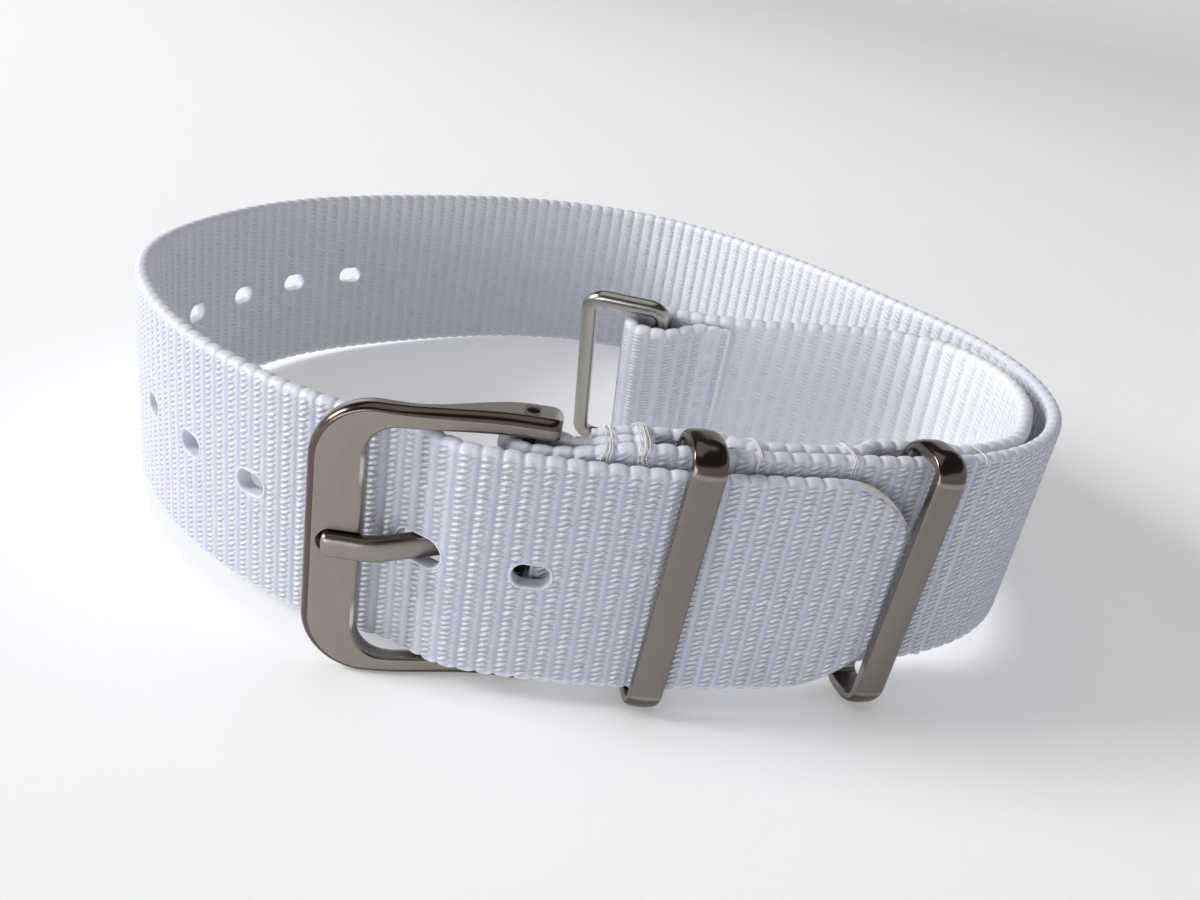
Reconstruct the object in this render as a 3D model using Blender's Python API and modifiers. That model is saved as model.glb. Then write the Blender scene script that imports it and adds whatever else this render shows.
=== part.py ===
"""NATO watch strap: one ribbed webbing strap, buckled in a loop and standing on its edge.

Units are metres and +Z is up. The loop lies in plan around the origin: the buckle and the two
keepers are at the front (-Y), the bare webbing is at the back (+Y). The origin ends up under the
middle of the part's box, on the surface that the strap stands on.
"""

import math

import bmesh
import bpy
import numpy as np
from mathutils import Matrix, Vector

# Webbing
STRAP_WIDTH = 0.0200
STRAP_THICKNESS = 0.00125
LAYER_GAP = 0.00045          # air between the tail and the strap that it lies on
SEWN_GAP = 0.0003            # air between two layers that a seam holds together
FRONT_RAISE = 0.0012         # how much higher the sewn straps ride than the tail
RAISE_END_SHARES = (0.28, 0.50)    # stretch of the loop over which that height is lost
STATION_STEP = 0.0016        # distance between two cross lines of a bent strap

# Loop in plan, along the middle of the webbing
LOOP_WIDTH = 0.0881
LOOP_DEPTH = 0.0788
LOOP_SHARES = (
    (-0.091, -0.500), (0.061, -0.487), (0.215, -0.441), (0.363, -0.374), (0.456, -0.275),
    (0.494, -0.137), (0.469, 0.019), (0.364, 0.191), (0.230, 0.368), (0.067, 0.487),
    (-0.114, 0.474), (-0.298, 0.346), (-0.440, 0.176), (-0.505, -0.033), (-0.488, -0.194),
    (-0.392, -0.350), (-0.250, -0.460),
)
BAR_PLACE_SHARE = -0.037     # place of the spring bar across the loop's width

# Main strap: fold round the spring bar, tail and punched holes
FOLD_CLEARANCE = 0.00025
RETURN_LENGTH = 0.0094       # strap end that is folded back behind the spring bar
RETURN_GAP = 0.00015
TAIL_LENGTH = 0.0323         # from the spring bar to the tip
TIP_LENGTH = 0.0088          # length of the rounded end
TAIL_RISE_NEAR = 0.0036      # the tail climbs over the fold between these two distances
TAIL_RISE_FAR = 0.0096
HOLE_LENGTH = 0.0029
HOLE_HEIGHT = 0.0019
HOLE_PITCH = 0.00825
HOLE_COUNT = 12
TONGUE_HOLE_HEIGHT = 0.0025
TONGUE_HOLE_SHARES = (0.505, 0.350)    # middle and length of the hole in use, of the tongue
TONGUE_HOLE_ROUND_SHARE = 0.49     # its corner radius, of its height
SLOT_CLEARANCE = 0.0004      # round the tongue's eye, in the slot of the fold
SLOT_CORNER_RADIUS = 0.0005

# Short strap, sewn inside the main strap, with the wire ring in its far end
SHORT_START = 0.0048         # from the spring bar to its front end
SHORT_LEAVE = 0.0450         # where it parts from the main strap
SHORT_END_SHARE = (0.075, 0.038)   # its folded end, across and along the loop
FREE_SHARES = (              # its free part, along and beside the line between its two ends
    (0.0377, -0.1224), (0.1063, -0.2521), (0.2224, -0.3563), (0.3842, -0.4028),
    (0.5379, -0.3529), (0.7006, -0.2329), (0.8522, -0.1070), (1.0, 0.0),
)
SHORT_LEAN = math.radians(26.0)
SHORT_RETURN = 0.0088
RING_FOLD_SLACK = 0.0018
RING_FOLD_CLEARANCE = 0.0002
LEAN_SHARES = (0.30, 1.0)    # stretch of the free part over which it leans in
RING_CLOSING_SHARE = 0.7     # part of the ring's fold over which its return closes in

# Seams across both straps, by their distance from the spring bar
SEAM_PLACES = (0.0058, 0.0084, 0.0173, 0.0252)
LAST_SEAM_SETBACK = 0.0074   # the last seam, before the short strap parts from the main one
THREAD_RADIUS = 0.00012
THREAD_CLEARANCE = 0.0001
STITCH_SWING = 0.0005
STITCHES = 5

# Spring bar
BAR_RADIUS = 0.0008
BAR_BORE_RADIUS = 0.00055
TIP_TRAVEL = 0.0017
FLANGE_RADIUS = 0.0006
FLANGE_HEIGHT = 0.0006
FLANGE_CLEARANCE = 0.0001
STEM_RADIUS = 0.00045
STEM_LENGTH = 0.0026         # part of the stem that stays in the barrel
PIN_RADIUS = 0.0004
PIN_RECESS = 0.0004
PIN_CHAMFER = 0.0001
SPRING_WIRE_RADIUS = 0.00008
SPRING_CURLS = 13
SPRING_CLEARANCE = 0.0001

# Buckle frame, from the spring bar's axis
FRAME_CLEARANCE = 0.0003     # between a leg and the strap's edge
LEG_HEIGHT = 0.0016
FRAME_REACH = 0.0158
FRAME_HEEL = 0.0023
FRONT_BAR_WIDTH = 0.0043
FRONT_BAR_DEPTH = 0.0017
FRONT_BAR_CLEARANCE = 0.0003
FRAME_CORNER_RADIUS = 0.0050
FRAME_INNER_RADIUS = 0.0024
HEEL_OUT = 0.0017            # depth of a leg at the spring bar, outward and inward
HEEL_IN = 0.0015
HEEL_CORNER_RADIUS = 0.0009
LEG_BEND_SHARE = 0.304       # part of the reach that is flat, on the legs' outer side
LEG_BEND_INSIDE_SHARE = 0.424      # the same for their inner side
FRAME_EDGE_RADII = (0.0007, 0.00045, 0.00045, 0.0003)    # outer and inner edge, as its sections
EDGE_SHARE = 0.44            # most that an edge's rounding takes of the face beside it
PIVOT_CLEARANCE = 0.0001
GROOVE_CLEARANCE = 0.0002
GROOVE_DEPTH = 0.0008
GROOVE_RUN_OUT = 0.0005      # stretch before and after the tongue's tip over which it narrows
GROOVE_END_SHARES = (0.86, 0.4)    # its radius at the tongue's tip and at its own end

# Tongue
TONGUE_DEPTH = 0.0015
TONGUE_HEIGHT = 0.0021
TONGUE_SETBACK = 0.0015      # from the frame's outer edge back to the tongue's tip
EYE_WALL = 0.0008
EYE_CLEARANCE = 0.0001
TONGUE_RISE_SHARES = (
    (0.0, 0.0), (0.17, 0.06), (0.35, 0.24), (0.50, 0.51), (0.62, 0.78), (0.70, 0.94), (0.77, 1.0),
    (0.88, 1.0), (1.0, 1.0),
)

# Keepers: two flat bands round the tail and the main strap
KEEPER_PLACES = (0.0122, 0.0316)
KEEPER_LEAN = math.radians(3.0)    # of their tops, away from the buckle
KEEPER_BAND_WIDTH = 0.0027
KEEPER_WALL = 0.0011
KEEPER_CLEARANCE = 0.0003
KEEPER_END_CLEARANCE = 0.0005
KEEPER_SETTLE = 0.0001       # how far a keeper hangs below the middle of its straps
KEEPER_CORNER_RADIUS = 0.0023
KEEPER_INNER_RADIUS = 0.0006
KEEPER_EDGE_RADIUS = 0.00035
KEEPER_TRAVEL = 0.0005       # each way along the strap
POCKET_MARGIN = 0.0001       # straight part of a pocket past the keeper's travel
POCKET_RAMP = 0.0030

# Wire ring at the end of the short strap
RING_WIRE_RADIUS = 0.00085
RING_WIDTH = 0.0078          # between the middles of its two long sides
RING_CORNER_RADIUS = 0.0016
RING_END_CLEARANCE = 0.0004
RING_FLOOR_GAP = 0.0003

OVERRUN = 0.0010             # how far a cutter runs past what it cuts
FACE_STEP = 0.0001           # between two faces that would otherwise lie in one plane
WELD_DISTANCE = 0.000003     # points nearer than this are one point

# Sizes that follow from the ones above
HALF_WIDTH = STRAP_WIDTH / 2
HALF_THICKNESS = STRAP_THICKNESS / 2
LAYER_PITCH = STRAP_THICKNESS + LAYER_GAP
RETURN_PITCH = STRAP_THICKNESS + RETURN_GAP
SEWN_PITCH = STRAP_THICKNESS + SEWN_GAP
FOLD_RADIUS = BAR_RADIUS + FOLD_CLEARANCE + HALF_THICKNESS
RING_FOLD_RADIUS = RING_WIRE_RADIUS + RING_FOLD_CLEARANCE + HALF_THICKNESS
POCKET_PITCH = max(STRAP_THICKNESS + KEEPER_WALL + 2 * KEEPER_CLEARANCE,
                   RETURN_PITCH + SEWN_PITCH)
FRAME_INNER_HALF = HALF_WIDTH + FRAME_CLEARANCE
FRAME_HALF = FRAME_INNER_HALF + LEG_HEIGHT
LEG_BEND = LEG_BEND_SHARE * FRAME_REACH
LEG_BEND_INSIDE = LEG_BEND_INSIDE_SHARE * FRAME_REACH
TONGUE_REACH = FRAME_REACH - TONGUE_SETBACK
TONGUE_HOLE_PLACE = TONGUE_HOLE_SHARES[0] * TONGUE_REACH
TONGUE_HOLE_LENGTH = TONGUE_HOLE_SHARES[1] * TONGUE_REACH
FRONT_LIFT = FRAME_HALF - HALF_WIDTH

WHITE = (0.80, 0.81, 0.86)
STEEL = (0.62, 0.60, 0.57)


def clear_scene():
    for thing in list(bpy.data.objects):
        bpy.data.objects.remove(thing, do_unlink=True)


def new_collection(name):
    collection = bpy.data.collections.new(name)
    bpy.context.scene.collection.children.link(collection)
    return collection


def new_material(name, colour, roughness, metallic):
    material = bpy.data.materials.new(name)
    material.use_nodes = True
    shader = material.node_tree.nodes["Principled BSDF"]
    shader.inputs["Base Color"].default_value = (*colour, 1.0)
    shader.inputs["Roughness"].default_value = roughness
    shader.inputs["Metallic"].default_value = metallic
    return material


def ramp(value, start, end):
    """Smooth step from 0 at start to 1 at end."""
    share = min(max((value - start) / (end - start), 0.0), 1.0)
    return share * share * (3.0 - 2.0 * share)


def smooth_curve(points, samples, closed):
    """Points of a Catmull-Rom curve through the given points."""
    points = [np.array(p, dtype=float) for p in points]
    count = len(points)
    spans = count if closed else count - 1
    out = []
    for i in range(spans):
        if closed:
            a, b, c, d = (points[(i + k) % count] for k in (-1, 0, 1, 2))
        else:
            b, c = points[i], points[i + 1]
            a = points[i - 1] if i else 2 * b - c
            d = points[i + 2] if i + 2 < count else 2 * c - b
        for k in range(samples):
            t = k / samples
            out.append(0.5 * (2 * b + (c - a) * t + (2 * a - 5 * b + 4 * c - d) * t * t
                              + (3 * b - a - 3 * c + d) * t ** 3))
    if not closed:
        out.append(points[-1])
    return np.array(out)


def lengths_along(points):
    """Distance of each point from the first, along the line of points."""
    steps = np.linalg.norm(np.diff(points, axis=0), axis=1)
    return np.concatenate([[0.0], np.cumsum(steps)])


class Loop:
    """The closed line in plan that the main strap follows, measured from the spring bar.

    Distances grow to the right along the front, and then round the back.
    """

    def __init__(self):
        corners = [(x * LOOP_WIDTH, y * LOOP_DEPTH) for x, y in LOOP_SHARES]
        points = smooth_curve(corners, 60, closed=True)
        bar_x = BAR_PLACE_SHARE * LOOP_WIDTH
        front = [i for i, p in enumerate(points) if p[1] < 0]
        first = min(front, key=lambda i: abs(points[i][0] - bar_x))
        points = np.roll(points, -first, axis=0)
        self.points = np.vstack([points, points[:1]])
        self.places = lengths_along(self.points)
        self.length = float(self.places[-1])
        tangents = np.roll(points, -1, axis=0) - np.roll(points, 1, axis=0)
        tangents /= np.linalg.norm(tangents, axis=1)[:, None]
        self.tangents = np.vstack([tangents, tangents[:1]])
        self.back = float(points[:, 1].max())

    def look_up(self, table, place):
        place %= self.length
        return np.array([np.interp(place, self.places, table[:, k]) for k in (0, 1)])

    def point(self, place, outward=0.0):
        """Plan point at a place, moved off the line by the outward distance."""
        return self.look_up(self.points, place) + outward * self.outward(place)

    def tangent(self, place):
        tangent = self.look_up(self.tangents, place)
        return tangent / np.linalg.norm(tangent)

    def outward(self, place):
        tangent = self.tangent(place)
        return np.array([tangent[1], -tangent[0]])


def strap_bottom(y, loop):
    """Height of the strap's lower edge: the buckle props up the front, the back touches down."""
    front = loop.point(0.0)[1]
    return FRONT_LIFT * (loop.back - y) / (loop.back - front)


def sewn_raise(place, loop):
    """How far the sewn straps are raised above the tail at a place."""
    start = ramp(place, STRAP_THICKNESS, RETURN_LENGTH)
    return FRONT_RAISE * start * (1.0 - ramp(place / loop.length, *RAISE_END_SHARES))


def places_between(start, end, step):
    count = max(2, math.ceil(abs(end - start) / step) + 1)
    return np.linspace(start, end, count)


def main_strap_course(loop):
    """Points of the main strap from its folded end to the tip, and each point's place."""
    points, places = [], []

    def add(place, xy):
        points.append((*xy, strap_bottom(xy[1], loop) + HALF_WIDTH))
        places.append(place)

    for place in places_between(RETURN_LENGTH, 0.0, STATION_STEP / 2)[:-1]:
        near = 2 * FOLD_RADIUS
        share = ramp(place, BAR_RADIUS, SHORT_START - SEWN_GAP)
        add(-place, loop.point(place, (near - RETURN_PITCH) * share - near))
    axis = loop.point(0.0, -FOLD_RADIUS)
    ahead, inside = loop.tangent(0.0), -loop.outward(0.0)
    for angle in np.linspace(0.0, math.pi, 13):
        add(0.0, axis + FOLD_RADIUS * (inside * math.cos(angle) - ahead * math.sin(angle)))
    for place in places_between(0.0, loop.length + TAIL_LENGTH, STATION_STEP)[1:]:
        rise = ramp(place, loop.length - TAIL_RISE_FAR, loop.length - TAIL_RISE_NEAR)
        add(place, loop.point(place, LAYER_PITCH * rise))
    return np.array(points), np.array(places)


def short_strap_pitch(place):
    """Distance of the short strap inward from the main strap, with a pocket at each keeper."""
    reach = KEEPER_BAND_WIDTH / 2 + KEEPER_TRAVEL + POCKET_MARGIN
    reach += HALF_WIDTH * math.tan(KEEPER_LEAN)
    first, second = KEEPER_PLACES
    open_share = 1.0 - ramp(place, first + reach, first + reach + POCKET_RAMP)
    open_share += ramp(place, second - reach - POCKET_RAMP, second - reach)
    open_share -= ramp(place, second + reach, second + reach + POCKET_RAMP)
    return SEWN_PITCH + (POCKET_PITCH - SEWN_PITCH) * open_share


def short_strap_course(loop):
    """Points of the short strap from its front end to its folded end, rulings and lifts.

    A ruling is the direction of the webbing's width: upright where it is sewn, and leaning
    inward over the free end. A lift is how far a cross line is slid along its ruling. The last
    items say where the ring's bar runs.
    """
    places = places_between(SHORT_START, SHORT_LEAVE, STATION_STEP / 2)
    sewn = [loop.point(s, -short_strap_pitch(s)) for s in places]
    corners = [sewn[-9], sewn[-5], sewn[-1]]
    chord = np.array(SHORT_END_SHARE) * (LOOP_WIDTH, LOOP_DEPTH) - sewn[-1]
    side = np.array([-chord[1], chord[0]])
    corners += [sewn[-1] + x * chord + y * side for x, y in FREE_SHARES]
    free = smooth_curve(corners, 40, closed=False)[81:]
    along = lengths_along(free)
    steps = places_between(0.0, along[-1], STATION_STEP)
    free = [np.array([np.interp(s, along, free[:, k]) for k in (0, 1)]) for s in steps]

    points, rulings = [], []
    for xy in sewn:
        points.append(Vector((*xy, strap_bottom(xy[1], loop) + HALF_WIDTH + FRONT_RAISE)))
        rulings.append(Vector((0.0, 0.0, 1.0)))
    start = points[-1]
    ring_half = HALF_WIDTH + RING_END_CLEARANCE + 2 * RING_WIRE_RADIUS
    end_height = RING_FLOOR_GAP + ring_half * math.cos(SHORT_LEAN)
    end_height += RING_FOLD_RADIUS * math.sin(SHORT_LEAN)
    for k, xy in enumerate(free):
        share = ramp((k + 1) / len(free), *LEAN_SHARES)
        height = start.z + (end_height - start.z) * share
        before = free[k - 1] if k else np.array(start[:2])
        ahead = Vector((*(xy - before), 0.0)).normalized()
        inside = Vector((-ahead.y, ahead.x, 0.0))
        lean = SHORT_LEAN * share
        points.append(Vector((*xy, height)))
        rulings.append(Vector((0.0, 0.0, 1.0)) * math.cos(lean) + inside * math.sin(lean))

    ruling = rulings[-1]
    ahead = (points[-1] - points[-2]).normalized()
    ahead = (ahead - ahead.dot(ruling) * ruling).normalized()
    inside = ruling.cross(ahead)
    ring_axis = points[-1] + inside * RING_FOLD_RADIUS
    centre = ring_axis + ahead * RING_FOLD_SLACK
    for angle in np.linspace(0.0, math.pi, 13):
        points.append(centre + RING_FOLD_RADIUS * (ahead * math.sin(angle)
                                                   - inside * math.cos(angle)))
        rulings.append(ruling)
    far = RING_FOLD_SLACK + SHORT_RETURN - RING_FOLD_RADIUS
    turn = points[-1]
    for back in places_between(0.0, far, STATION_STEP / 2)[1:]:
        share = ramp(back, RING_FOLD_SLACK, far * RING_CLOSING_SHARE)
        closing = (2 * RING_FOLD_RADIUS - RETURN_PITCH) * share
        points.append(turn - ahead * back - inside * closing)
        rulings.append(ruling)
    lifts = [sewn_raise(place, loop) - FRONT_RAISE for place in places]
    lifts += [0.0] * (len(points) - len(lifts))
    return points, rulings, lifts, (ring_axis, ahead, ruling)


def tilts_along(points, rulings):
    """Tilt of a curve's points that turns an upright strap into the given rulings."""
    tilts = []
    last = len(points) - 1
    for k, ruling in enumerate(rulings):
        tangent = (points[min(k + 1, last)] - points[max(k - 1, 0)]).normalized()
        upright = Vector((0.0, 0.0, 1.0))
        upright = (upright - upright.dot(tangent) * tangent).normalized()
        wanted = (ruling - ruling.dot(tangent) * tangent).normalized()
        tilts.append(math.atan2(tangent.dot(upright.cross(wanted)), upright.dot(wanted)))
    return tilts


class Studio:
    """Makes the objects and puts them in their collections under one empty."""

    def __init__(self, name):
        self.parts = new_collection(name)
        self.guides = new_collection("guides")
        self.root = bpy.data.objects.new(name + "_origin", None)
        self.parts.objects.link(self.root)
        self.nodes = []

    def empty(self, name, location=(0, 0, 0), rotation=None, parent=None):
        empty = bpy.data.objects.new(name, None)
        empty.empty_display_size = BAR_RADIUS
        empty.location = location
        if rotation is not None:
            empty.rotation_euler = rotation
        empty.parent = parent or self.root
        self.parts.objects.link(empty)
        return empty

    def node(self, name, data, material, parent=None, location=(0, 0, 0), rotation=(0, 0, 0)):
        thing = bpy.data.objects.new(name, data)
        thing.location = location
        thing.rotation_euler = rotation
        thing.parent = parent or self.root
        self.parts.objects.link(thing)
        if not data.materials:
            data.materials.append(material)
        self.nodes.append(thing)
        return thing

    def guide(self, name, data, parent=None, location=(0, 0, 0), rotation=(0, 0, 0)):
        thing = bpy.data.objects.new(name, data)
        thing.location = location
        thing.rotation_euler = rotation
        thing.parent = parent or self.root
        thing.hide_render = True
        thing.display_type = "WIRE"
        self.guides.objects.link(thing)
        return thing


def poly_curve(name, points, cyclic=False, radius=0.0, resolution=2, tilts=None, radii=None):
    """A curve of straight pieces; with a radius it becomes a round wire with closed ends."""
    curve = bpy.data.curves.new(name, "CURVE")
    curve.dimensions = "3D"
    curve.twist_mode = "Z_UP"
    curve.render_resolution_u = 0
    curve.bevel_depth = radius
    curve.bevel_resolution = resolution
    curve.use_fill_caps = radius > 0 and not cyclic
    spline = curve.splines.new("POLY")
    spline.points.add(len(points) - 1)
    for k, point in enumerate(points):
        spline.points[k].co = (*point, 1.0)
        spline.points[k].tilt = tilts[k] if tilts else 0.0
        spline.points[k].radius = radii[k] if radii else 1.0
    spline.use_cyclic_u = cyclic
    return curve


def flat_outline(name, outlines, depth):
    """A plate with the given outlines in X and Y, half its depth to each side of them."""
    curve = bpy.data.curves.new(name, "CURVE")
    curve.dimensions = "2D"
    curve.fill_mode = "BOTH"
    curve.render_resolution_u = 0
    curve.extrude = depth / 2
    for outline in outlines:
        spline = curve.splines.new("POLY")
        spline.points.add(len(outline) - 1)
        for k, (x, y) in enumerate(outline):
            spline.points[k].co = (x, y, 0.0, 1.0)
        spline.use_cyclic_u = True
    return curve


def mesh_of(studio, curve, turn=None):
    """A closed mesh made from a curve, with the caps joined to its sides."""
    thing = studio.guide(curve.name, curve)
    bpy.context.view_layer.update()
    graph = bpy.context.evaluated_depsgraph_get()
    mesh = bpy.data.meshes.new_from_object(thing.evaluated_get(graph))
    mesh.name = curve.name
    bpy.data.objects.remove(thing, do_unlink=True)
    shape = bmesh.new()
    shape.from_mesh(mesh)
    bmesh.ops.remove_doubles(shape, verts=shape.verts, dist=WELD_DISTANCE)
    if turn is not None:
        bmesh.ops.transform(shape, matrix=turn, verts=shape.verts)
    bmesh.ops.recalc_face_normals(shape, faces=shape.faces)
    shape.to_mesh(mesh)
    shape.free()
    return mesh


def rounded(corners, steps=6):
    """An outline through corners (x, y, radius), each rounded by an arc of its radius."""
    out = []
    count = len(corners)
    for k, (x, y, radius) in enumerate(corners):
        corner = Vector((x, y))
        if radius <= 0:
            out.append(tuple(corner))
            continue
        to_last = (Vector(corners[k - 1][:2]) - corner).normalized()
        to_next = (Vector(corners[(k + 1) % count][:2]) - corner).normalized()
        half = to_last.angle(to_next) / 2
        middle = corner + (to_last + to_next).normalized() * (radius / math.sin(half))
        start = corner + to_last * (radius / math.tan(half)) - middle
        end = corner + to_next * (radius / math.tan(half)) - middle
        sweep = start.angle_signed(end)
        for i in range(steps + 1):
            angle = -sweep * i / steps
            out.append((middle.x + start.x * math.cos(angle) - start.y * math.sin(angle),
                        middle.y + start.x * math.sin(angle) + start.y * math.cos(angle)))
    return out


def rounded_rectangle(width, height, radius, steps=6):
    w, h = width / 2, height / 2
    return rounded([(w, h, radius), (-w, h, radius), (-w, -h, radius), (w, -h, radius)], steps)


def oval(x, length, height, steps=16):
    return [(x + length / 2 * math.cos(2 * math.pi * k / steps),
             height / 2 * math.sin(2 * math.pi * k / steps)) for k in range(steps)]


def window(x, length, height, radius, steps=6):
    return [(x + px, py) for px, py in rounded_rectangle(length, height, radius, steps)]


def turned(name, profile, closed=False, steps=24):
    """A profile (radius, height), from the top down its outer side, for a Screw modifier."""
    shape = bmesh.new()
    verts = [shape.verts.new((radius, 0.0, height)) for radius, height in profile]
    pairs = list(zip(verts, verts[1:]))
    if closed:
        pairs.append((verts[-1], verts[0]))
    for pair in pairs:
        shape.edges.new(pair)
    mesh = bpy.data.meshes.new(name)
    shape.to_mesh(mesh)
    shape.free()
    return mesh, steps


def add_screw(thing, steps):
    screw = thing.modifiers.new("turn", "SCREW")
    screw.axis = "Z"
    screw.steps = steps
    screw.render_steps = steps
    screw.use_merge_vertices = True
    screw.merge_threshold = WELD_DISTANCE
    screw.use_smooth_shade = True


def add_boolean(thing, other, operation="DIFFERENCE"):
    boolean = thing.modifiers.new(operation.lower(), "BOOLEAN")
    boolean.operation = operation
    boolean.object = other
    return boolean


def rounded_bar(name, sections, radii, cyclic=False, steps=2):
    """A bar through four-cornered sections, with its four long edges rounded."""
    shape = bmesh.new()
    rings = []
    for corners in sections:
        corners = [Vector(corner) for corner in corners]
        ring = []
        for k, corner in enumerate(corners):
            back = corners[k - 1] - corner
            ahead = corners[(k + 1) % 4] - corner
            reach = min(radii[k], EDGE_SHARE * back.length, EDGE_SHARE * ahead.length)
            for i in range(steps + 1):
                angle = math.pi / 2 * i / steps
                ring.append(shape.verts.new(corner
                                            + back.normalized() * reach * (1 - math.sin(angle))
                                            + ahead.normalized() * reach * (1 - math.cos(angle))))
        rings.append(ring)
    pairs = list(zip(rings, rings[1:]))
    if cyclic:
        pairs.append((rings[-1], rings[0]))
    else:
        shape.faces.new(rings[0])
        shape.faces.new(rings[-1])
    for here, there in pairs:
        for k, vert in enumerate(here):
            shape.faces.new((here[k - 1], vert, there[k], there[k - 1]))
    bmesh.ops.recalc_face_normals(shape, faces=shape.faces)
    mesh = bpy.data.meshes.new(name)
    shape.to_mesh(mesh)
    shape.free()
    return mesh


def cylinder_mesh(name, radius, depth, sides=24, turn=None):
    shape = bmesh.new()
    bmesh.ops.create_cone(shape, cap_ends=True, segments=sides, radius1=radius, radius2=radius,
                          depth=depth)
    if turn is not None:
        bmesh.ops.transform(shape, matrix=turn, verts=shape.verts)
    mesh = bpy.data.meshes.new(name)
    shape.to_mesh(mesh)
    shape.free()
    return mesh


def webbing_blank(name, stations, half_widths, lifts):
    """A flat strip in X and Z with a cross line at each station, before it gets its thickness."""
    shape = bmesh.new()
    lines = [[shape.verts.new((x, 0.0, lift + side * half)) for side in (-1, 1)]
             for x, half, lift in zip(stations, half_widths, lifts)]
    for (low, high), (next_low, next_high) in zip(lines, lines[1:]):
        shape.faces.new((low, next_low, next_high, high))
    mesh = bpy.data.meshes.new(name)
    shape.to_mesh(mesh)
    shape.free()
    return mesh


def bent_strap(studio, name, points, tilts, material, half_widths, lifts, punches=None):
    """A webbing strap: cut flat, given its thickness, punched, and bent along its course."""
    stations = lengths_along(np.array([tuple(p) for p in points]))
    strap = studio.node(name, webbing_blank(name, stations, half_widths, lifts), material)
    solid = strap.modifiers.new("thickness", "SOLIDIFY")
    solid.thickness = STRAP_THICKNESS
    solid.offset = 0.0
    if punches:
        plate = mesh_of(studio, flat_outline(name + "_punches", punches,
                                             STRAP_THICKNESS + 2 * OVERRUN),
                        Matrix.Rotation(math.pi / 2, 4, "X"))
        add_boolean(strap, studio.guide(name + "_punches", plate))
    course = studio.guide(name + "_course", poly_curve(name + "_course", points, tilts=tilts))
    bend = strap.modifiers.new("bend", "CURVE")
    bend.object = course
    bend.deform_axis = "POS_X"
    return strap


def make_main_strap(studio, loop, material):
    points, places = main_strap_course(loop)
    stations = lengths_along(points)
    whole = stations[-1]

    # The last stations close in on the rounded tip.
    tip = [whole - TIP_LENGTH * (1.0 - math.sin(a)) for a in np.linspace(0, 1.5, 10)]
    body = stations < whole - TIP_LENGTH - STATION_STEP / 3
    tip_points = [[np.interp(x, stations, points[:, k]) for k in (0, 1, 2)] for x in tip]
    half_widths = [HALF_WIDTH] * int(body.sum())
    half_widths += [HALF_WIDTH * math.sqrt(max(0.0, 1.0 - ((x - whole) / TIP_LENGTH + 1.0) ** 2))
                    for x in tip]
    lifts = [sewn_raise(abs(place), loop) for place in places[body]] + [0.0] * len(tip)

    after_fold = places > 0
    in_use = float(np.interp(loop.length - TONGUE_HOLE_PLACE, places[after_fold],
                             stations[after_fold]))
    first = in_use + (TONGUE_HOLE_LENGTH - HOLE_LENGTH) / 2 + HOLE_PITCH
    punches = [oval(first - k * HOLE_PITCH, HOLE_LENGTH, HOLE_HEIGHT)
               for k in range(HOLE_COUNT) if k != 1]
    punches.append(window(in_use, TONGUE_HOLE_LENGTH, TONGUE_HOLE_HEIGHT,
                          TONGUE_HOLE_HEIGHT * TONGUE_HOLE_ROUND_SHARE))
    fold = float(np.mean(stations[places == 0.0]))
    eye = BAR_RADIUS + EYE_CLEARANCE + EYE_WALL
    slot = math.pi * FOLD_RADIUS + 2 * (eye + 2 * SLOT_CLEARANCE)
    punches.append(window(fold, slot, TONGUE_HEIGHT + 2 * SLOT_CLEARANCE, SLOT_CORNER_RADIUS, 3))

    course = [tuple(p) for p in points[body]] + [tuple(p) for p in tip_points]
    return bent_strap(studio, "main_strap", course, None, material, half_widths, lifts, punches)


def make_short_strap(studio, loop, material):
    points, rulings, lifts, ring_place = short_strap_course(loop)
    tilts = tilts_along(points, rulings)
    half_widths = [HALF_WIDTH] * len(points)
    bent_strap(studio, "short_strap", points, tilts, material, half_widths, lifts)
    return ring_place


def make_seams(studio, loop, material):
    """Closed zigzag threads round the layers that they hold, one at each seam."""
    out_side = HALF_THICKNESS + THREAD_CLEARANCE + THREAD_RADIUS
    reach = HALF_WIDTH + THREAD_CLEARANCE + 2 * THREAD_RADIUS
    middles = SEAM_PLACES + (SHORT_LEAVE - LAST_SEAM_SETBACK,)
    for number, middle in enumerate(middles, 1):
        points = []
        for side in (1, -1):
            for k in range(2 * STITCHES + 1):
                place = middle + STITCH_SWING / 2 * (-1) ** k
                swing = STITCH_SWING / 2
                slope = (short_strap_pitch(place + swing) - short_strap_pitch(place - swing))
                in_side = short_strap_pitch(place) + out_side * math.hypot(1, slope / STITCH_SWING)
                xy = loop.point(place, out_side if side > 0 else -in_side)
                middle_height = strap_bottom(loop.point(place)[1], loop) + HALF_WIDTH
                z = side * reach * (1.0 - k / STITCHES)
                points.append((*xy, middle_height + sewn_raise(place, loop) + z))
        curve = poly_curve(f"seam_thread_{number}", points, cyclic=True, radius=THREAD_RADIUS,
                           resolution=1)
        studio.node(f"seam_thread_{number}", curve, material)


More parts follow.
